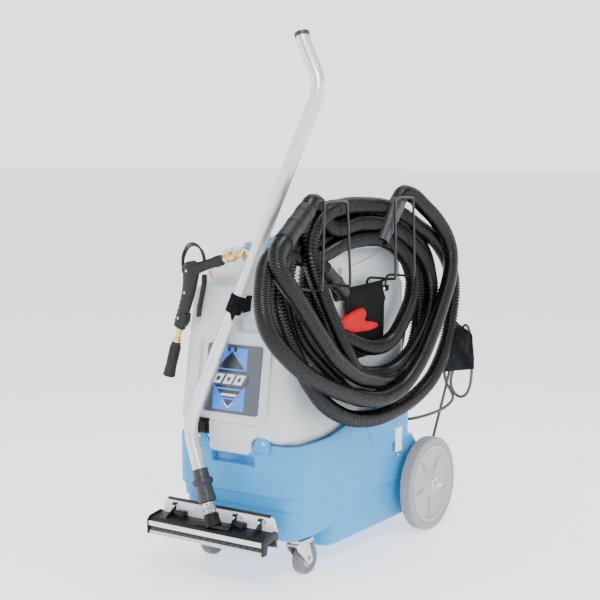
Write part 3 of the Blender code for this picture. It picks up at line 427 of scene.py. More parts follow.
def pipe(name, points, radius, mat, stands=(), sides=6, radii=None):
    # a round tube: sides is Blender's bevel resolution, and radii may thin or swell it along the way
    curve = bpy.data.curves.new(name, "CURVE")
    curve.dimensions = "3D"
    curve.bevel_depth = radius
    curve.bevel_resolution = sides
    curve.use_fill_caps = True
    line = curve.splines.new("POLY")
    line.points.add(len(points) - 1)
    for i, (dot, at) in enumerate(zip(line.points, points)):
        dot.co = (*(Vector(at) - middle), 1)
        if radii:
            dot.radius = radii[i]
    line.use_smooth = True
    obj = bpy.data.objects.new(name, curve)
    bpy.context.scene.collection.objects.link(obj)
    return settle(obj, "machine", stands, [mat])


def screwHead(bm, at, way, radius=0.0045, mat=0):
    spun(bm, [(0, 0.0018), (radius * 0.55, 0.0017), (radius * 0.9, 0.001), (radius, 0.0), (radius, -0.001),
              (0, -0.001)],
         at, way, 20, mat)


def hexNut(bm, at, way, radius=0.006, height=0.005, mat=0):
    drum(bm, Vector(at), Vector(at) + Vector(way).normalized() * height, radius, segments=6, mat=mat,
         edge=0.0006)


def outline(half, yFront, yRear, radius, z, frontStops=(), sideStops=(), arc=6):
    # a rounded rectangle seen from above, anticlockwise from the front left corner
    corners = [(-1, yFront, 180), (1, yFront, 270), (1, yRear, 0), (-1, yRear, 90)]
    ring = []
    # the stops stay on the straight run between the corners
    kept = [min(max(s, yFront + radius + 0.001 * (i + 1)), yRear - radius - 0.001 * (len(sideStops) - i))
            for i, s in enumerate(sideStops)]
    for i, (side, y, first) in enumerate(corners):
        inward = radius if y == yFront else -radius
        ring += arcPoints((side * (half - radius), y + inward), radius, first, first + 90, arc)
        if i == 0:
            ring += [(x, yFront) for x in frontStops]
        elif i == 1:
            ring += [(half, s) for s in kept]
        elif i == 2:
            ring += [(x, yRear) for x in reversed(frontStops)]
        else:
            ring += [(-half, s) for s in reversed(kept)]
    return [(x, y, z(y) if callable(z) else z) for x, y in ring]


def loft(bm, rings, mat=0):
    loops = []
    for ring in rings:
        verts = [bm.verts.new(p) for p in ring]
        loops.append([bm.edges.new(pair) for pair in zip(verts, verts[1:] + verts[:1])])
    before = set(bm.faces)
    for first, second in zip(loops, loops[1:]):
        bmesh.ops.bridge_loops(bm, edges=first + second)
    bmesh.ops.edgeloop_fill(bm, edges=loops[0])
    bmesh.ops.edgeloop_fill(bm, edges=loops[-1])
    for face in set(bm.faces) - before:
        face.material_index = mat
    return bm


def sunk(bm, inside, thickness, push, mat=None):
    # insets the faces that pass the test and moves them by push
    bm.normal_update()
    picked = [f for f in bm.faces if inside(f.calc_center_median(), f.normal)]
    bmesh.ops.inset_region(bm, faces=picked, thickness=thickness, depth=0.0)
    verts = {v for f in picked for v in f.verts}
    bmesh.ops.translate(bm, verts=list(verts), vec=push)
    if mat is not None:
        for f in picked:
            f.material_index = mat


# hoses and power cord

vacuumHose = {
    "name": "vacuumHoseLong", "diameter": 0.048, "length": 7.62, "pitch": 0.0094,
    "rib": ((0.0, 0.82), (0.0014, 1.0), (0.0044, 1.0), (0.0058, 0.82)),
    "route": [
        (0.2245, -0.23, 0.868), (0.2245, -0.272, 0.897), (0.227, -0.34, 0.932), (0.231, -0.395, 0.915),
        (0.236, -0.42, 0.86), (0.24, -0.41, 0.805), (0.241, -0.388, 0.74), (0.242, -0.35, 0.68),
        (0.243, -0.28, 0.62), (0.24, -0.205, 0.565), (0.234, -0.13, 0.514), (0.229, -0.04, 0.478),
        (0.228, 0.06, 0.466), (0.228, 0.155, 0.482), (0.228, 0.232, 0.535), (0.228, 0.285, 0.61),
        (0.228, 0.306, 0.695), (0.228, 0.298, 0.78), (0.226, 0.268, 0.855), (0.218, 0.205, 0.915),
        (0.206, 0.11, 0.95), (0.2, 0.0, 0.962), (0.202, -0.13, 0.958), (0.212, -0.24, 0.93),
        (0.221, -0.3, 0.865), (0.222, -0.305, 0.79), (0.222, -0.275, 0.735), (0.224, -0.21, 0.69),
        (0.236, -0.125, 0.662), (0.244, -0.04, 0.632), (0.246, 0.04, 0.622), (0.247, 0.115, 0.64),
        (0.249, 0.175, 0.69), (0.25, 0.216, 0.745), (0.25, 0.224, 0.805), (0.248, 0.195, 0.862),
        (0.246, 0.13, 0.908), (0.244, 0.05, 0.934), (0.242, -0.04, 0.941), (0.241, -0.15, 0.934),
        (0.236, -0.255, 0.907), (0.23, -0.34, 0.905), (0.236, -0.425, 0.915), (0.249, -0.474, 0.872),
        (0.254, -0.487, 0.804), (0.255, -0.46, 0.729), (0.257, -0.41, 0.65), (0.262, -0.35, 0.57),
        (0.266, -0.275, 0.5), (0.268, -0.164, 0.448), (0.268, -0.028, 0.424), (0.264, 0.115, 0.428),
        (0.26, 0.24, 0.45), (0.256, 0.35, 0.494), (0.254, 0.428, 0.57), (0.256, 0.462, 0.66),
        (0.258, 0.474, 0.75), (0.256, 0.446, 0.835), (0.252, 0.366, 0.912), (0.247, 0.25, 0.965),
        (0.246, 0.15, 1.005), (0.245, 0.06, 1.027), (0.245, -0.06, 1.036), (0.25, -0.17, 1.036),
        (0.259, -0.262, 1.022), (0.265, -0.335, 0.985), (0.268, -0.36, 0.93), (0.268, -0.34, 0.868),
        (0.268, -0.294, 0.791), (0.267, -0.235, 0.708), (0.263, -0.172, 0.632), (0.25, -0.1, 0.572),
        (0.238, -0.01, 0.546), (0.238, 0.08, 0.538), (0.246, 0.165, 0.555), (0.253, 0.25, 0.61),
        (0.256, 0.315, 0.685), (0.256, 0.332, 0.765), (0.254, 0.298, 0.845), (0.252, 0.225, 0.905),
        (0.25, 0.12, 0.955), (0.248, 0.02, 0.98), (0.247, -0.09, 0.986), (0.2475, -0.19, 0.975),
        (0.248, -0.25, 0.992), (0.255, -0.3, 1.042), (0.266, -0.345, 1.052), (0.2745, -0.376, 1.0415),
        (0.2773, -0.4, 1.0267),
    ],
}
upperHose = {
    "name": "vacuumHoseEnd", "diameter": 0.048, "length": 4.3, "pitch": 0.006,
    "rib": ((0.0, 0.92), (0.0013, 1.0), (0.0034, 1.0), (0.0047, 0.92)),
    "route": [
        (0.2885, -0.499, 0.966), (0.2935, -0.542, 0.9375), (0.3, -0.552, 0.9), (0.304, -0.524, 0.86),
        (0.305, -0.478, 0.815), (0.305, -0.424, 0.76), (0.305, -0.366, 0.702), (0.305, -0.29, 0.633),
        (0.302, -0.188, 0.577), (0.286, -0.08, 0.545), (0.262, 0.03, 0.522), (0.25, 0.13, 0.52),
        (0.246, 0.225, 0.548), (0.238, 0.31, 0.605), (0.226, 0.372, 0.69), (0.223, 0.385, 0.78),
        (0.221, 0.35, 0.87), (0.216, 0.27, 0.945), (0.206, 0.16, 0.995), (0.198, 0.04, 1.012),
        (0.198, -0.09, 1.012), (0.204, -0.21, 1.0), (0.216, -0.32, 0.96), (0.232, -0.425, 0.936),
        (0.254, -0.512, 0.92), (0.267, -0.562, 0.885), (0.27, -0.577, 0.812), (0.274, -0.562, 0.745),
        (0.281, -0.51, 0.682), (0.288, -0.415, 0.612), (0.294, -0.3, 0.556), (0.299, -0.155, 0.507),
        (0.302, -0.03, 0.487), (0.303, 0.08, 0.507), (0.304, 0.178, 0.566), (0.304, 0.25, 0.64),
        (0.303, 0.312, 0.72), (0.302, 0.362, 0.8), (0.3, 0.374, 0.868), (0.298, 0.345, 0.93),
        (0.293, 0.285, 0.985), (0.286, 0.225, 1.024), (0.278, 0.172, 1.056), (0.2712, 0.124, 1.064),
        (0.2682, 0.09, 1.03),
    ],
}
powerCord = {
    "name": "powerCord", "diameter": 0.01, "length": 10.7, "ring": (-0.07, 0.6), "columns": 5, "rows": 4,
    "step": 0.0103, "outer": 0.0822, "foot": 0.0056, "route": [
        (0.11, 0.3746, 0.33), (0.11, 0.386, 0.33), (0.12, 0.402, 0.33), (0.145, 0.42, 0.332),
        (0.175, 0.455, 0.34), (0.2, 0.5, 0.352), (0.226, 0.515, 0.372), (0.24, 0.517, 0.396),
        (0.23, 0.518, 0.42), (0.212, 0.518, 0.45), (0.205, 0.517, 0.51), (0.214, 0.516, 0.58),
        (0.238, 0.516, 0.632), (0.256, 0.517, 0.6), (0.246, 0.518, 0.52), (0.231, 0.519, 0.45),
        (0.24, 0.521, 0.415), (0.262, 0.522, 0.4), (0.286, 0.522, 0.412), (0.3, 0.522, 0.45),
        (0.304, 0.521, 0.51), (0.3, 0.521, 0.59), (0.282, 0.524, 0.634), (0.258, 0.531, 0.61),
        (0.225, 0.541, 0.52), (0.19, 0.552, 0.4), (0.15, 0.566, 0.27), (0.115, 0.572, 0.14),
        (0.092, 0.57, 0.052), (0.062, 0.56, 0.012), (0.02, 0.5455, 0.0058),
    ],
}


def ribbedPoints(hose):
    # stations along the smooth route, one set for each rib
    line = smoothRoute(hose["route"], 0.004)
    total = routeLength(line)
    along, k, stations, radii = 0.0, 0, [], []
    lengths = [0.0]
    for a, b in zip(line, line[1:]):
        lengths.append(lengths[-1] + (b - a).length)
    for i in range(int(total / hose["pitch"])):
        for offset, radius in hose["rib"]:
            along = i * hose["pitch"] + offset
            while k < len(lengths) - 2 and lengths[k + 1] < along:
                k += 1
            stations.append(line[k].lerp(line[k + 1], (along - lengths[k]) / (lengths[k + 1] - lengths[k])))
            radii.append(radius)
    return stations, radii, total


def layHose(hose, stands):
    stations, radii, total = ribbedPoints(hose)
    obj = pipe(hose["name"], stations, hose["diameter"] / 2, "hoseBlack", stands=stands, sides=3,
               radii=radii)
    print(f"{hose['name']}: {total:.2f} m along the route")


def collar(name, start, end, profile, mat, stands=(), steps=40):
    # a turned sleeve between two points; profile holds (radius, share of the length)
    start, end = Vector(start), Vector(end)
    long = (end - start).length
    bm = bmesh.new()
    spun(bm, rounded([(r, share * long) for r, share in profile], 0.0012), start, end - start, steps)
    return piece(name, bm, [mat], stands=stands, sharp=30)


def makeHoseEnds():
    outer = [(0.0215, 0.0), (0.0262, 0.0), (0.027, 0.03), (0.027, 0.16), (0.0258, 0.19), (0.0258, 0.44),
             (0.0268, 0.46), (0.0268, 0.53), (0.0252, 0.55), (0.0247, 0.8), (0.0258, 0.82), (0.0258, 0.97),
             (0.025, 1.0), (0.0215, 1.0)]
    collar("hoseJoiner", (0.29, -0.512, 0.958), (0.276, -0.388, 1.034), outer, "blackPlastic",
           ["hose_cuff_lower"])
    free = [(0.0185, 0.0), (0.0245, 0.0), (0.0252, 0.04), (0.0252, 0.17), (0.0238, 0.2), (0.0236, 0.42),
            (0.0228, 0.44), (0.0212, 0.8), (0.0207, 0.98), (0.02, 1.0), (0.0176, 1.0), (0.0176, 0.96),
            (0.0176, 0.45)]
    collar("hoseEndCuff", (0.2682, 0.098, 1.04), (0.2682, 0.01, 0.93), free, "darkGrey",
           ["hose_cuff_upper"])
    bm = bmesh.new()
    spun(bm, rounded([(0.0185, 0), (0.0262, 0), (0.0262, 0.004), (0.0225, 0.01), (0.0185, 0.01)], 0.001),
         (0.1868, -0.112, 0.7865), (1, 0, 0), 40)
    elbow = smoothRoute([(0.184, -0.112, 0.7865), (0.2005, -0.112, 0.7865), (0.2125, -0.1146, 0.7883),
                         (0.2213, -0.1219, 0.7933), (0.2245, -0.1318, 0.8001), (0.2245, -0.165, 0.823),
                         (0.2245, -0.23, 0.868)], 0.005)
    piece("portFlange", bm, ["blackPlastic"], sharp=30)
    # wider past the bend, with a bead there and another at the mouth
    shares = [i / len(elbow) for i in range(len(elbow))]
    grow = [1.0 + 0.1 * eased(s, 0.42, 0.5) + (0.1 if 0.5 < s < 0.56 or s > 0.93 else 0) for s in shares]
    pipe("portElbow", elbow, 0.02, "blackPlastic", stands=["hose_port"], sides=8, radii=grow)


def coilTurns(cord):
    # turns lie side by side and then on top of each other, in and out
    points = []
    start = math.radians(-48)
    perTurn = 40
    radius, z, sense = cord["outer"], cord["foot"], -1
    count = 0
    for row in range(cord["rows"]):
        for i in range(cord["columns"] * perTurn):
            angle = start - math.tau * count / perTurn
            points.append((cord["ring"][0] + radius * math.cos(angle),
                           cord["ring"][1] + radius * math.sin(angle), z))
            count += 1
            if i < (cord["columns"] - 1) * perTurn:
                radius += sense * cord["step"] / perTurn
            elif row < cord["rows"] - 1 and i >= (cord["columns"] * perTurn) - 16:
                z += cord["step"] / 16
        sense = -sense
    return points


def layPowerCord():
    loops = smoothRoute(powerCord["route"], 0.008)
    turns = coilTurns(powerCord)
    last = Vector(turns[-1])
    join = smoothRoute([loops[-6], loops[-1], turns[0], turns[5]], 0.006)
    cut = min(range(len(join)), key=lambda i: (join[i] - Vector(turns[0])).length)
    first = min(range(len(join)), key=lambda i: (join[i] - loops[-1]).length)
    leave = smoothRoute([turns[-4], last, (last.x - 0.018, last.y - 0.002, last.z - 0.004),
                         (-0.158, 0.64, 0.028), (-0.15, 0.668, 0.017), (-0.1325, 0.668, 0.015)], 0.006)
    points = [Vector(p) for p in loops[:-1]] + join[first:cut] + [Vector(p) for p in turns] + leave[4:]
    print(f"power cord: {routeLength(points):.2f} m, turns end at {tuple(round(c, 3) for c in last)}")
    obj = pipe(powerCord["name"], points, powerCord["diameter"] / 2, "jacketGrey",
               stands=["power_cord", "cord_coil"], sides=3)


def makePlug():
    bm = bmesh.new()
    boot = [(0.0, 0.0), (0.0056, 0.0), (0.0062, 0.004), (0.0058, 0.007), (0.0068, 0.01), (0.0064, 0.013),
            (0.0074, 0.016), (0.0072, 0.02), (0.0085, 0.024), (0.0, 0.026)]
    spun(bm, boot, (-0.1325, 0.668, 0.015), (-1, 0, 0), 28)
    shape = [(-0.156, 0.659), (-0.164, 0.654), (-0.186, 0.6535), (-0.192, 0.657), (-0.192, 0.679),
             (-0.186, 0.6825), (-0.164, 0.682), (-0.156, 0.677)]
    cutOut(bm, shape, "Z", 0.0035, 0.0265, edge=0.003, segments=3)
    for i in range(3):
        block(bm, (-0.184 + 0.006 * i, 0.6525, 0.008), (-0.1815 + 0.006 * i, 0.6835, 0.022), 0.0006)
    piece("plugBody", bm, ["blackPlastic"], stands=["power_plug"])
    bm = bmesh.new()
    block(bm, (-0.2095, 0.6606, 0.0075), (-0.19, 0.6622, 0.014), 0.0004)
    block(bm, (-0.2095, 0.6738, 0.0075), (-0.19, 0.6754, 0.014), 0.0004)
    drum(bm, (-0.19, 0.668, 0.0205), (-0.211, 0.668, 0.0205), 0.0024, 0.0022, 16, edge=0.0005)
    piece("plugPins", bm, ["brass"])


# two-part moulded body

# stops are where the outline of the moulding gets a point, along the front and along the sides
shellStops = {"front": (-0.139, -0.11, -0.075, 0.0, 0.04, 0.075, 0.108, 0.137),
              "side": tuple(-0.27 + 0.036 * i for i in range(15))}


def eased(value, low, high):
    t = min(1.0, max(0.0, (value - low) / (high - low)))
    return t * t * (3 - 2 * t)


def makeBase():
    def rim(z):
        return lambda y: z + 0.042 * eased(y, -0.2, 0.03)

    def crease(z, rise):
        return lambda y: z + rise * eased(y, -0.31, 0.07)

    levels = [
        (lambda y: 0.112 + 0.062 * eased(y, -0.2, 0.08), 0.188, -0.319, 0.388, 0.044),
        (lambda y: 0.118 + 0.062 * eased(y, -0.2, 0.08), 0.195, -0.326, 0.396, 0.046),
        (crease(0.16, 0.052), 0.1962, -0.3275, 0.396, 0.046),
        (crease(0.1995, 0.06), 0.1968, -0.3285, 0.396, 0.046),
        (crease(0.2035, 0.06), 0.2022, -0.3345, 0.39, 0.047),
        (crease(0.235, 0.068), 0.2042, -0.3385, 0.352, 0.049),
        (crease(0.24, 0.068), 0.2098, -0.3448, 0.322, 0.05),
        (crease(0.262, 0.062), 0.21, -0.345, 0.312, 0.05),
        (crease(0.318, 0.032), 0.21, -0.345, 0.312, 0.05),
        (lambda y: 0.346 + 0.03 * eased(y, -0.2, 0.03), 0.21, -0.345, 0.312, 0.05),
        (rim(0.381), 0.21, -0.345, 0.312, 0.05),
        (rim(0.3845), 0.2085, -0.3435, 0.3105, 0.0485),
        (rim(0.3855), 0.206, -0.341, 0.308, 0.046),
        (rim(0.385), 0.2005, -0.3365, 0.3045, 0.043),
        (rim(0.365), 0.1985, -0.333, 0.3025, 0.041),
    ]
    bm = bmesh.new()
    front, side = shellStops["front"], shellStops["side"]
    loft(bm, [outline(half, y0, y1, corner, z, front, side) for z, half, y0, y1, corner in levels])

    def pocket(c, n):
        return n.y < -0.9 and abs(c.x) < 0.074 and 0.319 < c.z < 0.347

    # the pocket's sunk faces take the darker lid blue (slot 1): painted shade in the recess under the
    # tongue, not a colour of the base moulding
    sunk(bm, pocket, 0.004, (0, 0.016, 0), 1)
    piece("baseShell", bm, ["blueShell", "blueLid"], stands=["base_tank"], sharp=34,
          edge=(0.0011, 2, 26))
    bm = bmesh.new()
    low = [
        (0.052, 0.166, -0.124, 0.372, 0.034), (0.0535, 0.176, -0.134, 0.38, 0.038),
        (0.06, 0.185, -0.143, 0.39, 0.044), (0.072, 0.1895, -0.149, 0.394, 0.046),
        (0.11, 0.1905, -0.158, 0.395, 0.046), (0.19, 0.191, -0.172, 0.395, 0.046),
    ]
    loft(bm, [outline(half, y0, y1, corner, z, front, side[3:]) for z, half, y0, y1, corner in low])
    for y in (-0.02, 0.1, 0.22):
        block(bm, (-0.15, y - 0.006, 0.0495), (0.15, y + 0.006, 0.056), 0.002)
    piece("baseBelly", bm, ["blueShell"], sharp=40)


def makeBosses():
    # moulded ears beside the upper tank's tongue, each with a screw, and short upright creases
    bm = bmesh.new()
    right = [(0.072, 0.362), (0.128, 0.362), (0.131, 0.384), (0.126, 0.399), (0.114, 0.405), (0.09, 0.4035),
             (0.078, 0.392)]
    left = [(-0.075, 0.362), (-0.082, 0.388), (-0.094, 0.401), (-0.118, 0.399), (-0.128, 0.39),
            (-0.132, 0.362)]
    cutOut(bm, right, "Y", -0.3535, -0.3405, edge=0.0035, segments=3)
    cutOut(bm, list(reversed(left)), "Y", -0.3535, -0.3405, edge=0.0035, segments=3)
    piece("bossEars", bm, ["blueShell"])
    bm = bmesh.new()
    for x, z in ((0.111, 0.389), (-0.112, 0.386)):
        screwHead(bm, (x, -0.3537, z), (0, -1, 0), 0.0058)
    for y, z in ((0.2165, 0.358), (0.2165, 0.262)):
        screwHead(bm, (0.2105, y, z), (1, 0, 0), 0.0042)
    piece("bodyScrews", bm, ["steel"], sharp=30)
    bm = bmesh.new()
    fold = [(0.022, 0.392), (0.03, 0.394), (0.062, 0.338), (0.068, 0.316), (0.06, 0.318), (0.054, 0.336)]
    cutOut(bm, fold, "X", 0.206, 0.2122, edge=0.0016, segments=3)
    piece("sideFold", bm, ["blueShell"])
    bm = bmesh.new()
    block(bm, (0.2104, 0.197, 0.273), (0.2111, 0.238, 0.348), 0.0004)
    piece("sideSticker", bm, ["stickerWhite"])


def makeTank():
    levels = [
        (0.366, 0.176, -0.318, 0.282, 0.046), (0.387, 0.19, -0.334, 0.298, 0.05),
        (0.4, 0.193, -0.35, 0.3, 0.052), (0.42, 0.1945, -0.357, 0.3, 0.052),
        (0.44, 0.195, -0.36, 0.3, 0.052), (0.56, 0.195, -0.3425, 0.3, 0.053),
        (0.65, 0.195, -0.327, 0.3, 0.054), (0.686, 0.195, -0.321, 0.3, 0.0545),
        (0.724, 0.195, -0.3138, 0.3, 0.055), (0.776, 0.195, -0.305, 0.3, 0.056),
        (0.79, 0.1935, -0.3015, 0.299, 0.055), (0.798, 0.189, -0.296, 0.2965, 0.0535),
        (0.803, 0.186, -0.284, 0.294, 0.05), (0.8055, 0.186, -0.264, 0.294, 0.05),
        (0.81, 0.1858, -0.2585, 0.2935, 0.05), (0.832, 0.186, -0.256, 0.292, 0.05),
        (0.838, 0.1858, -0.248, 0.291, 0.049), (0.858, 0.185, -0.216, 0.289, 0.0475),
        (0.884, 0.184, -0.184, 0.286, 0.046), (0.892, 0.181, -0.1765, 0.282, 0.044),
        (0.9, 0.176, -0.174, 0.276, 0.042), (0.9035, 0.171, -0.17, 0.271, 0.04),
        (0.905, 0.164, -0.164, 0.264, 0.038),
    ]
    stops = (-0.11, -0.06, -0.004, 0.04, 0.085, 0.11)
    slots = (-0.22, -0.136, -0.072, 0.0, 0.07, 0.14, 0.2, 0.24)
    bm = bmesh.new()
    loft(bm, [outline(half, y0, y1, corner, z, stops, slots) for z, half, y0, y1, corner in levels])

    def fingerRecess(c, n):
        return n.y < -0.7 and -0.004 < c.x < 0.085 and 0.686 < c.z < 0.724

    def sideSlot(c, n):
        return n.x > 0.8 and -0.136 < c.y < -0.072 and 0.838 < c.z < 0.858

    sunk(bm, fingerRecess, 0.005, (0, 0.014, 0.003))
    sunk(bm, sideSlot, 0.003, (-0.01, 0, 0))
    piece("upperTank", bm, ["greyShell"], stands=["recovery_tank"], sharp=42,
          edge=(0.0042, 4, 20))
    bm = bmesh.new()
    tongue = [(-0.084, 0.352), (0.084, 0.352), (0.072, 0.362), (0.069, 0.385), (0.08, 0.398),
              (0.094, 0.407), (0.097, 0.436), (-0.097, 0.436), (-0.094, 0.407), (-0.08, 0.398),
              (-0.069, 0.385), (-0.072, 0.362)]
    cutOut(bm, tongue[2:] + [(-0.06, 0.353), (0.06, 0.353)], "Y", -0.3635, -0.34, edge=0.004, segments=3)
    rib = [(-0.361, 0.452), (-0.3655, 0.458), (-0.3365, 0.655), (-0.329, 0.66), (-0.32, 0.655),
           (-0.348, 0.452)]
    cutOut(bm, rib, "X", 0.116, 0.126, edge=0.003, segments=3)
    cutOut(bm, rib, "X", -0.126, -0.116, edge=0.003, segments=3)
    piece("tankRibs", bm, ["greyShell"], sharp=40)
    bm = bmesh.new()
    # the shoulder's two moulded swellings beside the lid
    for side in (-1, 1):
        swell = [(-0.051, 0.853), (0.111, 0.883), (0.15, 0.894), (0.165, 0.88), (0.16, 0.85), (0.0, 0.838)]
        low, high = sorted((side * 0.178, side * 0.1885))
        cutOut(bm, swell, "X", low, high, edge=0.003, segments=3)
    piece("shoulderSwell", bm, ["greyShell"], sharp=40)


lid = {"centre": (0, -0.04), "seat": 0.9053, "ribs": 24, "hinge": (0.124, 0.918)}


def makeLid():
    bm = bmesh.new()
    z = lid["seat"]
    dome = [(0, z + 0.04), (0.03, z + 0.0397), (0.06, z + 0.0375), (0.062, z + 0.035), (0.094, z + 0.03),
            (0.096, z + 0.027), (0.118, z + 0.0195), (0.128, z + 0.015), (0.134, z + 0.0128),
            (0.1475, z + 0.0122), (0.15, z + 0.0095), (0.15, z + 0.0008), (0.1485, z), (0.118, z),
            (0.112, z + 0.006), (0, z + 0.006)]
    spun(bm, rounded(dome, 0.0018, 2), (*lid["centre"], 0), steps=96)
    for i in range(lid["ribs"]):
        turn = math.radians(360 / lid["ribs"] * i)
        at = Vector((math.cos(turn), math.sin(turn), 0))
        seat = Vector((*lid["centre"], z + 0.0122)) + at * 0.1415
        rib = Matrix.Translation(seat) @ Matrix.Rotation(turn, 4, "Z")
        bmesh.ops.create_cube(bm, size=1, matrix=rib @ Matrix.Diagonal((0.011, 0.004, 0.004, 1)))
    block(bm, (-0.028, 0.1, z + 0.001), (0.028, 0.122, z + 0.012), 0.002)
    drum(bm, (-0.028, *lid["hinge"]), (0.028, *lid["hinge"]), 0.0058, segments=20, edge=0.0006)
    drum(bm, (*lid["centre"], z + 0.038), (*lid["centre"], z + 0.0425), 0.016, 0.014, 32, edge=0.0008)
    piece("blueLidDisc", bm, ["blueLid"], "lid", ["lid"], 32, (0.0008, 2, 40))
    bm = bmesh.new()
    for low, high in ((-0.034, -0.0288), (0.0288, 0.034)):
        ear = [(0.112, 0.9055), (0.153, 0.9055), (0.153, 0.9085), (0.136, 0.915),
               *arcPoints(lid["hinge"], 0.0075, 20, 170, 8), (0.1145, 0.91)]
        cutOut(bm, ear, "X", low, high, edge=0.0006)
    block(bm, (-0.034, 0.133, 0.9054), (0.034, 0.154, 0.9092), 0.0008)
    drum(bm, (-0.0362, *lid["hinge"]), (0.0362, *lid["hinge"]), 0.003, segments=16, edge=0.0005)
    for x in (-0.022, 0.022):
        screwHead(bm, (x, 0.1445, 0.9094), (0, 0, 1), 0.0042)
    piece("lidHinge", bm, ["blackPlastic"], stands=["lid_hinge"])


label = {"low": (0.463, -0.3578), "high": (0.652, -0.3283), "half": 0.094}


def onLabel(x, up, out):
    # a point on the front plate: up runs 0 to 1 from its foot to its head
    (z0, y0), (z1, y1) = label["low"], label["high"]
    return Vector((x, y0 + (y1 - y0) * up - out * 0.988, z0 + (z1 - z0) * up - out * 0.154))


def panel(bm, corners, out, thick, mat):
    face = bm.faces.new([bm.verts.new(onLabel(x, up, out)) for x, up in corners])
    raised = bmesh.ops.extrude_face_region(bm, geom=[face])["geom"]
    top = [v for v in raised if isinstance(v, bmesh.types.BMVert)]
    bmesh.ops.translate(bm, verts=top, vec=onLabel(0, 0, thick) - onLabel(0, 0, 0))
    for f in {f for v in list(face.verts) + top for f in v.link_faces}:
        f.material_index = mat


def makeLabel():
    bm = bmesh.new()
    h = label["half"]
    soft = 0.008
    plate = [(-h + soft, 0), (h - soft, 0), (h - 0.002, 0.012), (h, 0.04), (h, 0.96), (h - 0.002, 0.988),
             (h - soft, 1), (-h + soft, 1), (-h + 0.002, 0.988), (-h, 0.96), (-h, 0.04),
             (-h + 0.002, 0.012)]
    panel(bm, plate, -0.0005, 0.0032, 0)
    panel(bm, [(-0.062, 0.045), (0.046, 0.045), (0.046, 0.955), (-0.062, 0.955)], 0.0025, 0.0005, 1)
    panel(bm, [(-0.072, 0.47), (-0.008, 0.1), (0.056, 0.47), (0.056, 0.56), (-0.008, 0.9), (-0.072, 0.56)],
          0.0029, 0.0004, 2)
    for side in (-1, 1):
        panel(bm, [(-0.008 + side * 0.006, 0.9), (-0.008 + side * 0.016, 0.9),
                   (-0.008 + side * 0.016, 0.96), (-0.008 + side * 0.006, 0.96)],
              0.003, 0.0003, 2)
    panel(bm, [(-0.076, 0.395), (0.04, 0.395), (0.06, 0.6), (-0.056, 0.6)], 0.0032, 0.0004, 0)
    for i in range(3):
        x = -0.068 + 0.036 * i
        panel(bm, [(x, 0.425), (x + 0.028, 0.425), (x + 0.043, 0.57), (x + 0.015, 0.57)], 0.0036, 0.0004, 3)
        panel(bm, [(x + 0.0125, 0.468), (x + 0.0225, 0.468), (x + 0.029, 0.528), (x + 0.019, 0.528)],
              0.0039, 0.0003, 2)
    for low, high, mat in ((0.625, 0.65, 1), (0.34, 0.368, 1), (0.25, 0.285, 3), (0.205, 0.225, 1)):
        shrink = 0.02 if high < 0.3 else 0.0
        panel(bm, [(-0.056 + shrink, low), (0.036 - shrink, low), (0.04 - shrink, high),
                   (-0.052 + shrink, high)], 0.0033, 0.0003, mat)
    panel(bm, [(-0.03, 0.18), (-0.008, 0.07), (0.014, 0.18), (-0.008, 0.1)], 0.0033, 0.0003, 3)
    piece("frontPlate", bm, ["labelGrey", "labelBlue", "labelDark", "labelPale"], stands=["front_label"],
          sharp=30)


# casters and wheels

caster = {"x": 0.163, "stemY": -0.263, "wheelY": -0.228, "wheelZ": 0.0445}
rearWheel = {"x": 0.2346, "y": 0.362, "z": 0.1465, "ribs": 5}


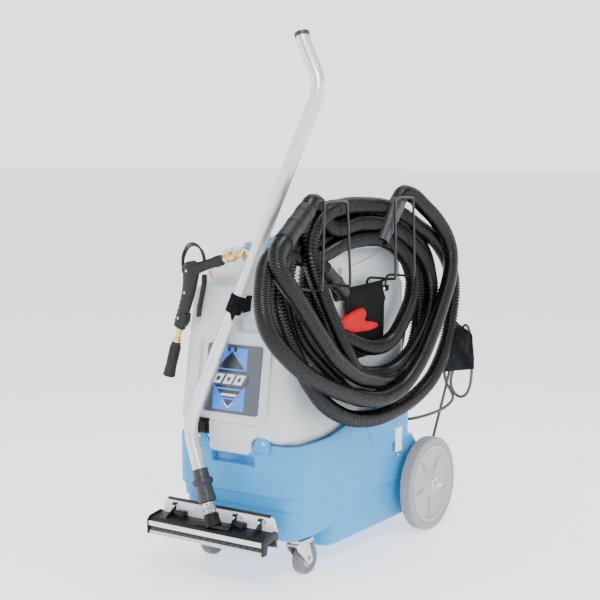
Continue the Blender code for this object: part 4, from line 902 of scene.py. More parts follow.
def makeCaster(side, word):
    x, y = side * caster["x"], caster["stemY"]
    wheelY, wheelZ = caster["wheelY"], caster["wheelZ"]
    bm = bmesh.new()
    block(bm, (x - 0.034, y - 0.03, 0.1082), (x + 0.034, y + 0.03, 0.1117), 0.0008)
    for dx in (-0.0265, 0.0265):
        for dy in (-0.021, 0.021):
            hexNut(bm, (x + dx, y + dy, 0.1082), (0, 0, -1), 0.0062, 0.0048)
            drum(bm, (x + dx, y + dy, 0.1034), (x + dx, y + dy, 0.0995), 0.003, segments=12)
    spun(bm, rounded([(0.0, 0.1082), (0.024, 0.1082), (0.0262, 0.105), (0.0262, 0.1015), (0.0235, 0.0985),
                      (0.0, 0.0985)], 0.0015),
         (x, y, 0), steps=40)
    piece(f"casterPlate_{word}", bm, ["zinc"], stands=[f"caster_plate_{word}"])
    bm = bmesh.new()
    spun(bm, rounded([(0.0, 0.0984), (0.0225, 0.0984), (0.0245, 0.096), (0.0225, 0.0925), (0.0, 0.0925)],
                     0.0012), (x, y, 0), steps=40)
    cheek = [(-0.292, 0.1), (-0.294, 0.093), (-0.286, 0.08), (-0.244, 0.04), (-0.2375, 0.0335),
             (-0.228, 0.0308), (-0.2185, 0.0335), (-0.215, 0.043), (-0.219, 0.056), (-0.23, 0.086),
             (-0.234, 0.1)]
    for dx in (-0.0192, 0.017):
        cutOut(bm, cheek, "X", x + dx, x + dx + 0.0022, edge=0.0006)
    block(bm, (x - 0.0192, -0.2925, 0.093), (x + 0.0192, -0.2335, 0.0962), 0.0008)
    drum(bm, (x - 0.0225, wheelY, wheelZ), (x + 0.0225, wheelY, wheelZ), 0.0042, segments=20)
    for way in (-1, 1):
        hexNut(bm, (x + way * 0.0193, wheelY, wheelZ), (way, 0, 0), 0.0076, 0.005)
    drum(bm, (x - 0.0222, -0.2295, 0.095), (x + 0.0222, -0.2295, 0.095), 0.003, segments=16, edge=0.0004)
    piece(f"casterFork_{word}", bm, ["zinc"], f"caster_fork_{word}", [f"caster_fork_{word}"])
    bm = bmesh.new()
    tread = [(0.0245, -0.0135), (0.04, -0.015), (0.0428, -0.0138), (0.0443, -0.009), (0.0445, -0.003),
             (0.0445, 0.003), (0.0443, 0.009), (0.0428, 0.0138), (0.04, 0.015), (0.0245, 0.0135)]
    spun(bm, rounded(tread, 0.0012), (x, wheelY, wheelZ), (1, 0, 0), 56, 0)
    hub = [(0.0046, -0.0148), (0.011, -0.0148), (0.0125, -0.0118), (0.0215, -0.01), (0.0262, -0.0135),
           (0.0262, 0.0135), (0.0215, 0.01), (0.0125, 0.0118), (0.011, 0.0148), (0.0046, 0.0148)]
    spun(bm, rounded(hub, 0.0008), (x, wheelY, wheelZ), (1, 0, 0), 56, 1)
    piece(f"casterWheel_{word}", bm, ["casterRubber", "wheelGrey"], f"caster_wheel_{word}",
          [f"caster_wheel_{word}"], 30)
    bm = bmesh.new()
    tab = [(-0.235, 0.0985), (-0.224, 0.101), (-0.205, 0.0975), (-0.1985, 0.0925), (-0.1975, 0.0895),
           (-0.2, 0.0893), (-0.207, 0.0945), (-0.224, 0.0975), (-0.2345, 0.0958)]
    cutOut(bm, tab, "X", x - 0.0125, x + 0.0125, edge=0.0006)
    for i in range(4):
        block(bm, (x - 0.0105, -0.22 + 0.0045 * i, 0.0985),
              (x + 0.0105, -0.2182 + 0.0045 * i, 0.1018 - 0.0008 * i), 0.0003)
    drum(bm, (x - 0.012, -0.2295, 0.095), (x + 0.012, -0.2295, 0.095), 0.0043, segments=18)
    piece(f"brakeTab_{word}", bm, ["zinc"], f"brake_pedal_{word}", [f"brake_pedal_{word}"])


def makeRearWheel(side, word):
    way = (side, 0, 0)
    at = (side * rearWheel["x"], rearWheel["y"], rearWheel["z"])
    bm = bmesh.new()
    disc = [(0.0086, -0.0235), (0.02, -0.0235), (0.024, -0.015), (0.09, -0.011), (0.102, -0.019),
            (0.117, -0.0205), (0.1226, -0.019), (0.1226, 0.0195), (0.118, 0.021), (0.112, 0.0205),
            (0.1065, 0.012), (0.098, 0.008), (0.06, 0.006), (0.047, 0.008), (0.042, 0.0135), (0.033, 0.015),
            (0.029, 0.0215), (0.019, 0.0235), (0.0086, 0.0235)]
    spun(bm, rounded(disc, 0.002), at, way, 72)
    for i in range(rearWheel["ribs"]):
        angle = math.radians(360 / rearWheel["ribs"] * i - 38)
        turn = Matrix.Translation(at) @ Matrix.Rotation(angle, 4, "X")
        rib = turn @ Matrix.Translation((side * 0.008, 0, 0.066))
        made = bmesh.ops.create_cube(bm, size=1, matrix=rib @ Matrix.Diagonal((0.0085, 0.005, 0.078, 1)))
        easedEdges(bm, {e for v in made["verts"] for e in v.link_edges}, 0.0018, 2)
    piece(f"rearWheelDisc_{word}", bm, ["wheelGrey"], f"rear_wheel_{word}",
          [f"rear_wheel_{word}"], 30)
    bm = bmesh.new()
    tyre = [(0.1229, -0.018), (0.13, -0.0205), (0.14, -0.0208), (0.145, -0.018), (0.1464, -0.0135)]
    for groove in (-0.0105, -0.0035, 0.0035, 0.0105):
        tyre += [(0.1465, groove - 0.0018), (0.1438, groove - 0.001), (0.1438, groove + 0.001),
                 (0.1465, groove + 0.0018)]
    tyre += [(0.1464, 0.0135), (0.145, 0.018), (0.14, 0.0208), (0.13, 0.0205), (0.1229, 0.018)]
    spun(bm, rounded(tyre, 0.0008, 2), at, way, 84)
    piece(f"rearTread_{word}", bm, ["treadGrey"], f"rear_wheel_{word}",
          [f"rear_tyre_{word}"], 30)


def makeAxle():
    bm = bmesh.new()
    y, z = rearWheel["y"], rearWheel["z"]
    drum(bm, (-0.276, y, z), (0.276, y, z), 0.008, segments=28)
    for side in (-1, 1):
        spun(bm, [(0.0084, 0.0), (0.017, 0.0), (0.017, 0.0016), (0.0084, 0.0016)], (side * 0.2588, y, z),
             (side, 0, 0), 32)
        hexNut(bm, (side * 0.2604, y, z), (side, 0, 0), 0.013, 0.011)
        cap = rounded([(0.0, 0.0128), (0.006, 0.0115), (0.0092, 0.007), (0.0098, 0.0), (0.0, 0.0)], 0.0012)
        spun(bm, cap, (side * 0.2714, y, z), (side, 0, 0), 32)
        spun(bm, [(0.0084, 0.0), (0.015, 0.0), (0.015, 0.0012), (0.0084, 0.0012)], (side * 0.2108, y, z),
             (-side, 0, 0), 32)
    piece("axleAndNuts", bm, ["chrome"], stands=["rear_axle"], sharp=30)


# back of the machine

handle = {"side": [(0.3135, 0.56), (0.335, 0.6), (0.372, 0.74), (0.402, 0.86)], "tube": 0.011}


def makeHandle():
    right = [(0.15, y, z) for y, z in handle["side"]]
    right += [(0.146, 0.414, 0.905), (0.12, 0.42, 0.93), (0.06, 0.4208, 0.934)]
    left = [(-x, y, z) for x, y, z in reversed(right)]
    pipe("pushHandle", smoothRoute(right + left, 0.006), handle["tube"], "blackCoat",
         stands=["rear_handle"], sides=8)
    bm = bmesh.new()
    for side in (-1, 1):
        foot = [(side * 0.128, 0.535), (side * 0.172, 0.535), (side * 0.175, 0.56), (side * 0.172, 0.612),
                (side * 0.128, 0.612), (side * 0.125, 0.56)]
        cutOut(bm, foot if side > 0 else list(reversed(foot)), "Y", 0.3004, 0.3045, edge=0.0012)
        drum(bm, (side * 0.15, 0.304, 0.56), (side * 0.15, 0.322, 0.572), 0.0135, 0.0125, 24, edge=0.001)
        for z in (0.545, 0.6):
            for dx in (-0.014, 0.014):
                screwHead(bm, (side * 0.15 + dx, 0.3046, z), (0, 1, 0), 0.0046)
    piece("handleFeet", bm, ["blackCoat"])
    grip = smoothRoute([(0.095, 0.4212, 0.9335), (0.0, 0.4212, 0.934), (-0.095, 0.4212, 0.9335)], 0.004)
    waves = [1.0 + 0.035 * (i % 2) for i in range(len(grip))]
    pipe("handleGrip", grip, 0.0137, "softBlack", sides=6, radii=waves)


def makeCordHook():
    route = [(0.166, 0.3045, 0.66), (0.166, 0.352, 0.66), (0.185, 0.395, 0.66), (0.196, 0.465, 0.66),
             (0.215, 0.494, 0.66), (0.244, 0.4965, 0.659), (0.25, 0.4975, 0.664)]
    pipe("cordHookWire", smoothRoute(route, 0.004), 0.005, "blackCoat", stands=["cord_hook"], sides=5)
    bm = bmesh.new()
    block(bm, (0.15, 0.3003, 0.636), (0.182, 0.3052, 0.684), 0.0012)
    for z in (0.643, 0.677):
        screwHead(bm, (0.166, 0.3053, z), (0, 1, 0), 0.0044)
    piece("cordHookFoot", bm, ["blackCoat"])


bag = {"flat": (0.114, 0.18), "left": 0.214, "foot": 0.479, "rows": 26, "columns": 14,
       "creases": ((26, 18, 3.1, 0.0042), (70, 46, 8.3, 0.0014))}


def creased(a, b, creases):
    # how far a point of cloth stands out: a crease is (across, up, seed, height)
    return sum(noise.noise(Vector((a * across, b * up, seed))) * height
               for across, up, seed, height in creases)


def cloth(name, bm, rows, columns, mat, stands, thickness):
    # joins the rows of points into one sheet and gives it its thickness
    bm.verts.ensure_lookup_table()
    for j in range(rows):
        for i in range(columns):
            a = j * (columns + 1) + i
            bm.faces.new([bm.verts[k] for k in (a, a + 1, a + columns + 2, a + columns + 1)])
    made = piece(name, bm, [mat], stands=stands, sharp=0)
    thick = made.modifiers.new("clothThickness", "SOLIDIFY")
    thick.thickness = thickness
    smoothed(made, 1)
    return made


def makeBag():
    bm = bmesh.new()
    rows, columns, left = bag["rows"], bag["columns"], bag["left"]
    for j in range(rows + 1):
        for i in range(columns + 1):
            u, t = i / columns, j / rows
            z = bag["foot"] + 0.1745 * t
            right = 0.325 - 0.006 * eased(z, 0.505, 0.605) - 0.07 * max(0.0, (z - 0.605) / 0.0485)
            x = left + (right - left) * u
            z += 0.02 * u * (1 - t)
            dent = creased(x, z, bag["creases"])
            belly = 0.0065 * math.sin(math.pi * u) * math.sin(math.pi * min(1.0, t * 0.9 + 0.05))
            bm.verts.new((x, 0.4975 + belly + dent, z))
    made = cloth("cordWrap", bm, rows, columns, "wrapBlack", ["cord_bag"], 0.0022)


def makePanel():
    bm = bmesh.new()
    block(bm, (-0.13, 0.3123, 0.292), (0.15, 0.3365, 0.372), 0.005, 3)
    block(bm, (-0.12, 0.336, 0.3), (0.14, 0.338, 0.364), 0.0008, 2, 1)
    for x in (-0.07, -0.01):
        block(bm, (x - 0.0155, 0.337, 0.32), (x + 0.0155, 0.3395, 0.368), 0.001, 2, 2)
    for x in (-0.118, 0.138):
        for z in (0.304, 0.36):
            screwHead(bm, (x, 0.3382, z), (0, 1, 0), 0.004, 3)
    for x in (0.03, 0.05, 0.07):
        spun(bm, [(0.0, 0.0022), (0.0045, 0.0018), (0.006, 0.0), (0.0, 0.0)], (x, 0.338, 0.35), (0, 1, 0),
             24, 1)
    piece("switchPanel", bm, ["blackPlastic", "steel", "darkGrey", "zinc"], stands=["switch_box"])
    for i, x in ((1, -0.07), (2, -0.01)):
        bm = bmesh.new()
        rocker = [(0.335, 0.3275), (0.3455, 0.3275), (0.3425, 0.344), (0.3465, 0.3605), (0.335, 0.3605)]
        cutOut(bm, rocker, "X", x - 0.0105, x + 0.0105, edge=0.001)
        piece(f"rockerKey_{i}", bm, ["blackPlastic"], f"rocker_switch_{i}",
              [f"rocker_switch_{i}"])
    bm = bmesh.new()
    relief = [(0.0, 0.0), (0.0112, 0.0), (0.0112, 0.003), (0.0088, 0.0042)]
    for i in range(6):
        relief += [(0.0088 - 0.0003 * i, 0.0075 + 0.006 * i), (0.0074 - 0.0003 * i, 0.0082 + 0.006 * i),
                   (0.0074 - 0.0003 * i, 0.0108 + 0.006 * i), (0.0086 - 0.0003 * i, 0.0115 + 0.006 * i)]
    relief += [(0.0066, 0.0455), (0.006, 0.0495), (0.0, 0.0495)]
    spun(bm, rounded(relief, 0.0004, 1), (0.11, 0.3365, 0.33), (0, 1, 0), 28)
    piece("cordRelief", bm, ["softBlack"], stands=["strain_relief"], sharp=30)


def makeDrain():
    bm = bmesh.new()
    valve = [(0.0, 0.372), (0.024, 0.372), (0.024, 0.396), (0.0215, 0.399), (0.0215, 0.404),
             (0.0175, 0.406), (0.0175, 0.446), (0.0195, 0.447), (0.0195, 0.452), (0.013, 0.452),
             (0.013, 0.42), (0.0, 0.42)]
    spun(bm, rounded([(r, y - 0.372) for r, y in valve], 0.0008), (0.09, 0.372, 0.085), (0, 1, 0), 40)
    drum(bm, (0.09, 0.426, 0.098), (0.09, 0.426, 0.1045), 0.0085, segments=24, edge=0.0008)
    piece("drainValve", bm, ["blackPlastic"], stands=["drain_valve"], sharp=30)
    bm = bmesh.new()
    arm = [*arcPoints((0.09, 0.426), 0.0085, -80, 80, 8), (0.06, 0.4335), (0.04, 0.4345), (0.0295, 0.431),
           (0.028, 0.426), (0.0295, 0.421), (0.04, 0.4175), (0.06, 0.4185)]
    cutOut(bm, arm, "Z", 0.105, 0.1105, edge=0.0014, segments=3)
    screwHead(bm, (0.09, 0.426, 0.1108), (0, 0, 1), 0.0042, 1)
    piece("drainLever", bm, ["redGrip", "steel"], "drain_lever", ["drain_lever"])


# hangers, pouch and mitt

hangers = {"front": ((-0.345, -0.205, -0.222, -0.335), 0.735), "rear": ((0.04, 0.15, 0.14, 0.035), 0.772)}


def makeHanger(word):
    (lowLeft, lowRight, topRight, topLeft), bar = hangers[word]
    route = [(0.2005, lowLeft, bar + 0.009), (0.2005, lowLeft, 0.8), (0.208, lowLeft, 0.8195),
             (0.24, lowLeft, 0.822), (0.288, lowLeft, 0.822), (0.2965, lowLeft, 0.832),
             (0.297, (lowLeft + topLeft) / 2, 0.94), (0.297, topLeft, 1.036),
             (0.297, topLeft + 0.008, 1.052), (0.297, (topLeft + topRight) / 2, 1.056),
             (0.297, topRight - 0.008, 1.052), (0.297, topRight, 1.036),
             (0.297, (lowRight + topRight) / 2, 0.94), (0.2965, lowRight, 0.832), (0.288, lowRight, 0.822),
             (0.24, lowRight, 0.822), (0.208, lowRight, 0.8195), (0.2005, lowRight, 0.8),
             (0.2005, lowRight, bar + 0.009)]
    pipe(f"hangerWire_{word}", smoothRoute(route, 0.005), 0.0038, "blackCoat", stands=[f"hose_hook_{word}"],
         sides=5)
    bm = bmesh.new()
    block(bm, (0.1955, lowLeft - 0.012, bar), (0.2055, lowRight + 0.012, bar + 0.018), 0.0022, 3)
    for y in (lowLeft + 0.02, lowRight - 0.02):
        spun(bm, [(0, 0.003), (0.004, 0.0026), (0.0056, 0.001), (0.0056, 0.0), (0, 0.0)],
             (0.2055, y, bar + 0.009), (1, 0, 0), 20, 1)
    piece(f"hangerBar_{word}", bm, ["blackPlastic", "stickerWhite"], stands=[f"hook_bar_{word}"])


pouch = {"flat": (0.204, 0.216), "rows": 30, "columns": 34,
         "creases": ((22, 15, 1.7, 0.0032), (60, 40, 5.0, 0.001))}


def makePouch():
    bm = bmesh.new()
    rows, columns = pouch["rows"], pouch["columns"]
    for j in range(rows + 1):
        t = j / rows
        for i in range(columns + 1):
            u = i / columns
            y = -0.089 + 0.203 * u + 0.014 * math.sin(math.pi * t) * (u - 0.4)
            z = 0.592 + (0.208 + 0.008 * u) * t
            fold = 0.0055 * math.exp(-((t - 0.66 - 0.1 * u) / 0.045) ** 2)
            sag = 0.004 * math.sin(math.pi * u) * math.sin(math.pi * min(1, t * 1.1))
            ripple = creased(y, z, pouch["creases"])
            bm.verts.new((0.2118 + fold + sag + ripple, y, z))
    made = cloth("hoseRestPouch", bm, rows, columns, "pouchCloth", ["tool_pouch"], 0.0024)
    hem = smoothRoute([(0.215, -0.089, 0.8), (0.2165, -0.03, 0.802), (0.217, 0.05, 0.805),
                       (0.215, 0.113, 0.808)], 0.006)
    pipe("pouchHem", hem, 0.0034, "pouchCloth", sides=4)


def makeMitt():
    # two soft lobes of one folded rubber glove, swollen and creased
    shape = [(-0.148, 0.706), (-0.138, 0.722), (-0.095, 0.733), (-0.05, 0.742), (-0.028, 0.741),
             (-0.016, 0.73), (-0.01, 0.716), (-0.022, 0.703), (0.0, 0.7), (0.022, 0.696), (0.048, 0.69),
             (0.054, 0.682), (0.044, 0.675), (0.02, 0.672), (-0.04, 0.672), (-0.095, 0.674),
             (-0.134, 0.688)]
    bm = bmesh.new()
    cutOut(bm, shape, "X", 0.2205, 0.2365)
    bmesh.ops.triangulate(bm, faces=[f for f in bm.faces if len(f.verts) > 4])
    bmesh.ops.subdivide_edges(bm, edges=bm.edges[:], cuts=2, use_grid_fill=True)
    for v in bm.verts:
        near = min((Vector((v.co.y, v.co.z)) - Vector(p)).length for p in shape)
        side = 1 if v.co.x > 0.2285 else -1
        v.co.x += side * 0.0075 * eased(near, 0.0, 0.022) - 0.003 * side
        lift = noise.noise(v.co * 38) * 0.003
        v.co.x += lift
        if side > 0:
            v.co.x -= 0.004 * math.exp(-((v.co.z - 0.706 - 0.1 * (v.co.y + 0.05)) / 0.006) ** 2)
    bmesh.ops.smooth_vert(bm, verts=bm.verts, factor=0.5, use_axis_x=True, use_axis_y=True, use_axis_z=True)
    made = piece("rubberMitt", bm, ["mittRed"], stands=["rubber_mitt"], sharp=0, levels=1)


# wand

wand = {
    "radius": 0.01905,
    "bends": [
        (0.155, 1.505), (0.165, 1.48), (0.196, 1.425), (0.2145, 1.393), (0.2235, 1.37), (0.2255, 1.345),
        (0.219, 1.318), (0.208, 1.29), (0.165, 1.172), (0.122, 1.055), (0.0745, 0.925), (0.027, 0.795),
        (-0.017, 0.677), (-0.06, 0.56), (-0.093, 0.462), (-0.099, 0.435), (-0.0985, 0.41), (-0.092, 0.385),
        (-0.074, 0.345), (-0.052, 0.298),
    ],
}


def onWand(x, z):
    return Vector((x, -0.44 + 0.16 * (z - 0.2), z))


def makeWand():
    line = smoothRoute([onWand(x, z) for x, z in wand["bends"]], 0.006)
    pipe("wandTube", line, wand["radius"], "aluminium", stands=["wand_tube"], sides=12)
    top, under = line[0], line[3]
    bm = bmesh.new()
    spun(bm, rounded([(0.0165, 0.0), (0.0204, 0.0), (0.0212, 0.0015), (0.0212, 0.0105), (0.02, 0.012),
                      (0.0165, 0.012)], 0.0008),
         top, under - top, 40, 0)
    spun(bm, [(0.015, -0.0006), (0.0196, -0.0006), (0.0196, 0.001), (0.015, 0.001)], top, under - top, 40,
         1)
    piece("wandEndRing", bm, ["darkGrey", "chrome"], sharp=30)
    bm = bmesh.new()
    low, high = onWand(-0.052, 0.298), onWand(-0.018, 0.224)
    cuff = [(0.0195, -0.012), (0.0218, -0.012), (0.0224, -0.008), (0.0226, 0.014), (0.0284, 0.016),
            (0.0288, 0.019), (0.0288, 0.027), (0.0284, 0.03), (0.0234, 0.032), (0.0238, 0.058),
            (0.0252, 0.06), (0.0252, 0.078), (0.0242, 0.081), (0.0195, 0.081)]
    spun(bm, rounded(cuff, 0.001), low, high - low, 48)
    ridges(bm, low, high - low, 20, 0.0284, 0.023, (0.0022, 0.0036, 0.0085))
    piece("wandCuff", bm, ["darkGrey"], stands=["wand_cuff"], sharp=30)


def makeHolders():
    low, high = onWand(0.008, 0.744), onWand(0.0262, 0.793)
    bm = bmesh.new()
    sleeve = [(0.0196, 0.0), (0.0222, 0.0015), (0.0229, 0.012), (0.0226, 0.03), (0.023, 0.044),
              (0.0223, 0.052), (0.0196, 0.0535)]
    spun(bm, rounded(sleeve, 0.0008), low, high - low, 44)
    for side in (-1, 1):
        edge = low.lerp(high, 0.5) + Vector((side * 0.0195, 0, 0))
        strap = [(-0.345, edge.z - 0.024), (-0.306, edge.z - 0.022), (-0.3035, edge.z),
                 (-0.3015, edge.z + 0.021), (-0.342, edge.z + 0.024)]
        cutOut(bm, strap, "X", edge.x - 0.0012, edge.x + 0.0012, edge=0.0004)
    tail = [(0.016, 0.752), (0.041, 0.77), (0.0405, 0.745), (0.034, 0.741), (0.03, 0.735), (0.022, 0.722),
            (0.019, 0.737)]
    cutOut(bm, tail, "Y", -0.3775, -0.3735, edge=0.0012)
    piece("wandStrap", bm, ["strapCloth"], stands=["wand_strap"], sharp=35)
    bm = bmesh.new()
    middleOf = onWand(-0.0985, 0.42)
    cradle = [(middleOf.x + dx, middleOf.y + dy) for dx, dy in arcPoints((0, 0), 0.0193, 35, 145, 12)]
    back = [(middleOf.x - 0.024, -0.366), (middleOf.x + 0.024, -0.366)]
    wing = [(middleOf.x + 0.0205, middleOf.y + 0.01), *cradle, (middleOf.x - 0.0205, middleOf.y + 0.01)]
    cutOut(bm, wing + back, "Z", 0.405, 0.435, edge=0.0012)
    block(bm, (middleOf.x - 0.03, -0.366, 0.398), (middleOf.x + 0.03, -0.3595, 0.442), 0.002, 3)
    piece("wandSaddle", bm, ["blackPlastic"], stands=["wand_saddle"])


# floor head, which swings on the neck

head = {"x": -0.012, "half": 0.2, "down": (0.4131, -0.1439, -0.8992)}


def ribbedSleeve(bm, start, way, length, first, last, ribs, mat=0):
    profile = [(0.0, 0.0), (first * 0.94, 0.0)]
    for i in range(ribs):
        radius = first + (last - first) * i / max(1, ribs - 1)
        a = length * (i + 0.12) / ribs
        profile += [(radius * 0.93, a), (radius, a + length * 0.12 / ribs),
                    (radius, a + length * 0.6 / ribs), (radius * 0.93, a + length * 0.72 / ribs)]
    profile += [(last * 0.92, length), (0.0, length)]
    spun(bm, profile, start, way, 40, mat)


def makeNeck():
    down = Vector(head["down"]).normalized()
    bm = bmesh.new()
    ring = [(0.015, 0.0004), (0.0182, 0.0004), (0.0186, 0.003), (0.0176, 0.006), (0.0186, 0.009),
            (0.0182, 0.0158), (0.015, 0.0158)]
    centre = Vector([(a + b) / 2 for a, b in zip(*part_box("swivel_collar"))]) + middle
    spun(bm, rounded([(r, a - 0.008) for r, a in ring], 0.0008), centre, down, 44)
    piece("swivelCollar", bm, ["milkyClear"], stands=["swivel_collar"], sharp=30)
    bm = bmesh.new()
    low, high = (Vector(c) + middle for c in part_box("head_neck"))
    centre = (low + high) / 2
    ribbedSleeve(bm, centre - down * 0.008, down, 0.018, 0.0186, 0.018, 2)
    piece("headNeck", bm, ["milkyClear"], "floor_head", ["head_neck"], 30)


def makeHead():
    x0, x1 = head["x"] - head["half"], head["x"] + head["half"]
    down = Vector(head["down"]).normalized()
    bm = bmesh.new()
    channel = [(-0.463, 0.122), (-0.463, 0.15), (-0.46, 0.1555), (-0.455, 0.159), (-0.412, 0.166),
               (-0.406, 0.1645), (-0.404, 0.16), (-0.404, 0.15), (-0.446, 0.144), (-0.45, 0.122)]
    cutOut(bm, channel, "X", x0 + 0.003, x1 - 0.003, edge=0.001)
    for i in range(17):
        x = x0 + 0.018 + 0.0228 * i
        block(bm, (x - 0.0082, -0.464, 0.1262), (x + 0.0082, -0.462, 0.1296), 0.0004, 1, 1)
    cap = [(-0.4675, 0.112), (-0.468, 0.152), (-0.456, 0.1625), (-0.41, 0.17), (-0.396, 0.164),
           (-0.393, 0.15), (-0.44, 0.14), (-0.446, 0.112)]
    for low, high in ((x0 - 0.0015, x0 + 0.003), (x1 - 0.003, x1 + 0.0015)):
        cutOut(bm, cap, "X", low, high, edge=0.001)
    ribbedSleeve(bm, Vector((-0.0045, -0.4409, 0.1947)), down, 0.034, 0.0208, 0.0232, 5)
    spread = [(-0.052, -0.452), (0.066, -0.452), (0.06, -0.412), (-0.046, -0.412)]
    cutOut(bm, spread, "Z", 0.157, 0.17, edge=0.003, segments=3)
    for x in (x0 + 0.082, x1 - 0.11):
        block(bm, (x - 0.017, -0.428, 0.158), (x + 0.017, -0.406, 0.1785), 0.0025, 3)
    for x in (x0 + 0.048, head["x"] + 0.062, x1 - 0.052):
        tab = [(x - 0.0068, 0.158), (x + 0.0068, 0.158), (x + 0.0068, 0.186), (x + 0.004, 0.1925),
               (x - 0.004, 0.1925), (x - 0.0068, 0.186)]
        cutOut(bm, tab, "Y", -0.4085, -0.405, edge=0.0007)
        block(bm, (x - 0.0068, -0.4085, 0.1905), (x + 0.0068, -0.396, 0.1935), 0.0008)
        spun(bm, [(0, 0.0034), (0.0036, 0.003), (0.005, 0.0016), (0.005, 0), (0, 0)], (x, -0.4085, 0.183),
             (0, -1, 0), 20, 2)
        web = [(-0.452, 0.155), (-0.448, 0.162), (-0.4085, 0.186), (-0.406, 0.155)]
        cutOut(bm, web, "X", x + 0.003, x + 0.0066, edge=0.0006)
    piece("headBody", bm, ["blackPlastic", "labelDark", "stickerWhite"], "floor_head",
          ["squeegee_head"], 32)
    bm = bmesh.new()
    strip = [(-0.4665, 0.1362), (-0.4665, 0.15), (-0.4633, 0.15), (-0.4633, 0.1362)]
    cutOut(bm, strip, "X", x0 + 0.004, x1 - 0.004, edge=0.0006)
    for i in range(6):
        x = x0 + 0.03 + 0.068 * i
        screwHead(bm, (x, -0.4666, 0.1431), (0, -1, 0), 0.0032, 1)
    piece("frontStrip", bm, ["aluminium", "steel"], "floor_head", ["front_strip"])
    bm = bmesh.new()
    blade = [(-0.4622, 0.1352), (-0.4592, 0.1352), (-0.4588, 0.118), (-0.457, 0.1108), (-0.4592, 0.11),
             (-0.4618, 0.115)]
    cutOut(bm, blade, "X", x0 + 0.004, x1 - 0.004, edge=0.0004)
    for i in range(45):
        x = x0 + 0.01 + 0.0086 * i
        block(bm, (x - 0.0022, -0.4631, 0.1118), (x + 0.0022, -0.4605, 0.12), 0.0005, 1)
    piece("squeegeeBlade", bm, ["paleRubber"], "floor_head", ["squeegee_blade"], 30)
    bm = bmesh.new()
    back = [(x0 + 0.004, 0.15), (x1 - 0.004, 0.15), (x1 - 0.002, 0.166), (x1 - 0.012, 0.196),
            (x1 - 0.022, 0.203), (x0 + 0.018, 0.203), (x0 + 0.008, 0.196), (x0 + 0.002, 0.166)]
    cutOut(bm, back, "Y", -0.396, -0.3912, edge=0.001)
    lip = [(-0.4036, 0.1502), (-0.4036, 0.16), (-0.3958, 0.164), (-0.3958, 0.1502)]
    cutOut(bm, lip, "X", x0 + 0.006, x1 - 0.006, edge=0.0008)
    block(bm, (x0 + 0.018, -0.3975, 0.1985), (x1 - 0.022, -0.3905, 0.2065), 0.0015, 2, 1)
    for i in range(5):
        screwHead(bm, (x0 + 0.04 + 0.08 * i, -0.3963, 0.186), (0, -1, 0), 0.0044, 2)
    piece("brushCarrier", bm, ["whiteSheet", "softBlack", "steel"], "floor_head",
          ["brush_carrier"])
    bm = bmesh.new()
    block(bm, (x0 + 0.006, -0.397, 0.14), (x1 - 0.006, -0.383, 0.1497), 0.0012)
    rng = random.Random(7)
    count = 62
    for i in range(count):
        for row in range(3):
            x = x0 + 0.01 + (2 * head["half"] - 0.02) * i / (count - 1)
            y = -0.394 + 0.0042 * row
            tuft = [(0.0, 0.0), (0.0017, 0.0), (0.0026, 0.018), (0.0024, 0.0225), (0.0, 0.0235)]
            lean = (rng.uniform(-0.12, 0.12), rng.uniform(-0.1, 0.1), -1)
            spun(bm, tuft, (x, y, 0.1412), lean, 6, 1 if rng.random() < 0.55 else 2)
    piece("scrubBrush", bm, ["blackPlastic", "bristleDark", "bristleRed"], "floor_head",
          ["scrub_brush"], 40)


# hand tool on the front

gun = {"y": -0.341, "lean": 0.28}


def onGun(x, z):
    return Vector((x, gun["y"] + gun["lean"] * max(0.0, x + 0.125), z))


def sectioned(bm, stations, sides=8, mat=0, turn=22.5):
    # lofts polygon sections along stations of (centre, radius across, radius deep)
    rings = []
    for i, (centre, wide, deep) in enumerate(stations):
        a, b = stations[max(0, i - 1)][0], stations[min(len(stations) - 1, i + 1)][0]
        way = (Vector(b) - Vector(a)).normalized()
        across = way.cross(Vector((0, 1, 0))).normalized()
        depth = across.cross(way).normalized()
        ring = []
        for k in range(sides):
            t = math.radians(turn + 360 * k / sides)
            ring.append(Vector(centre) + across * (wide * math.cos(t)) + depth * (deep * math.sin(t)))
        rings.append(ring)
    loft(bm, rings, mat)


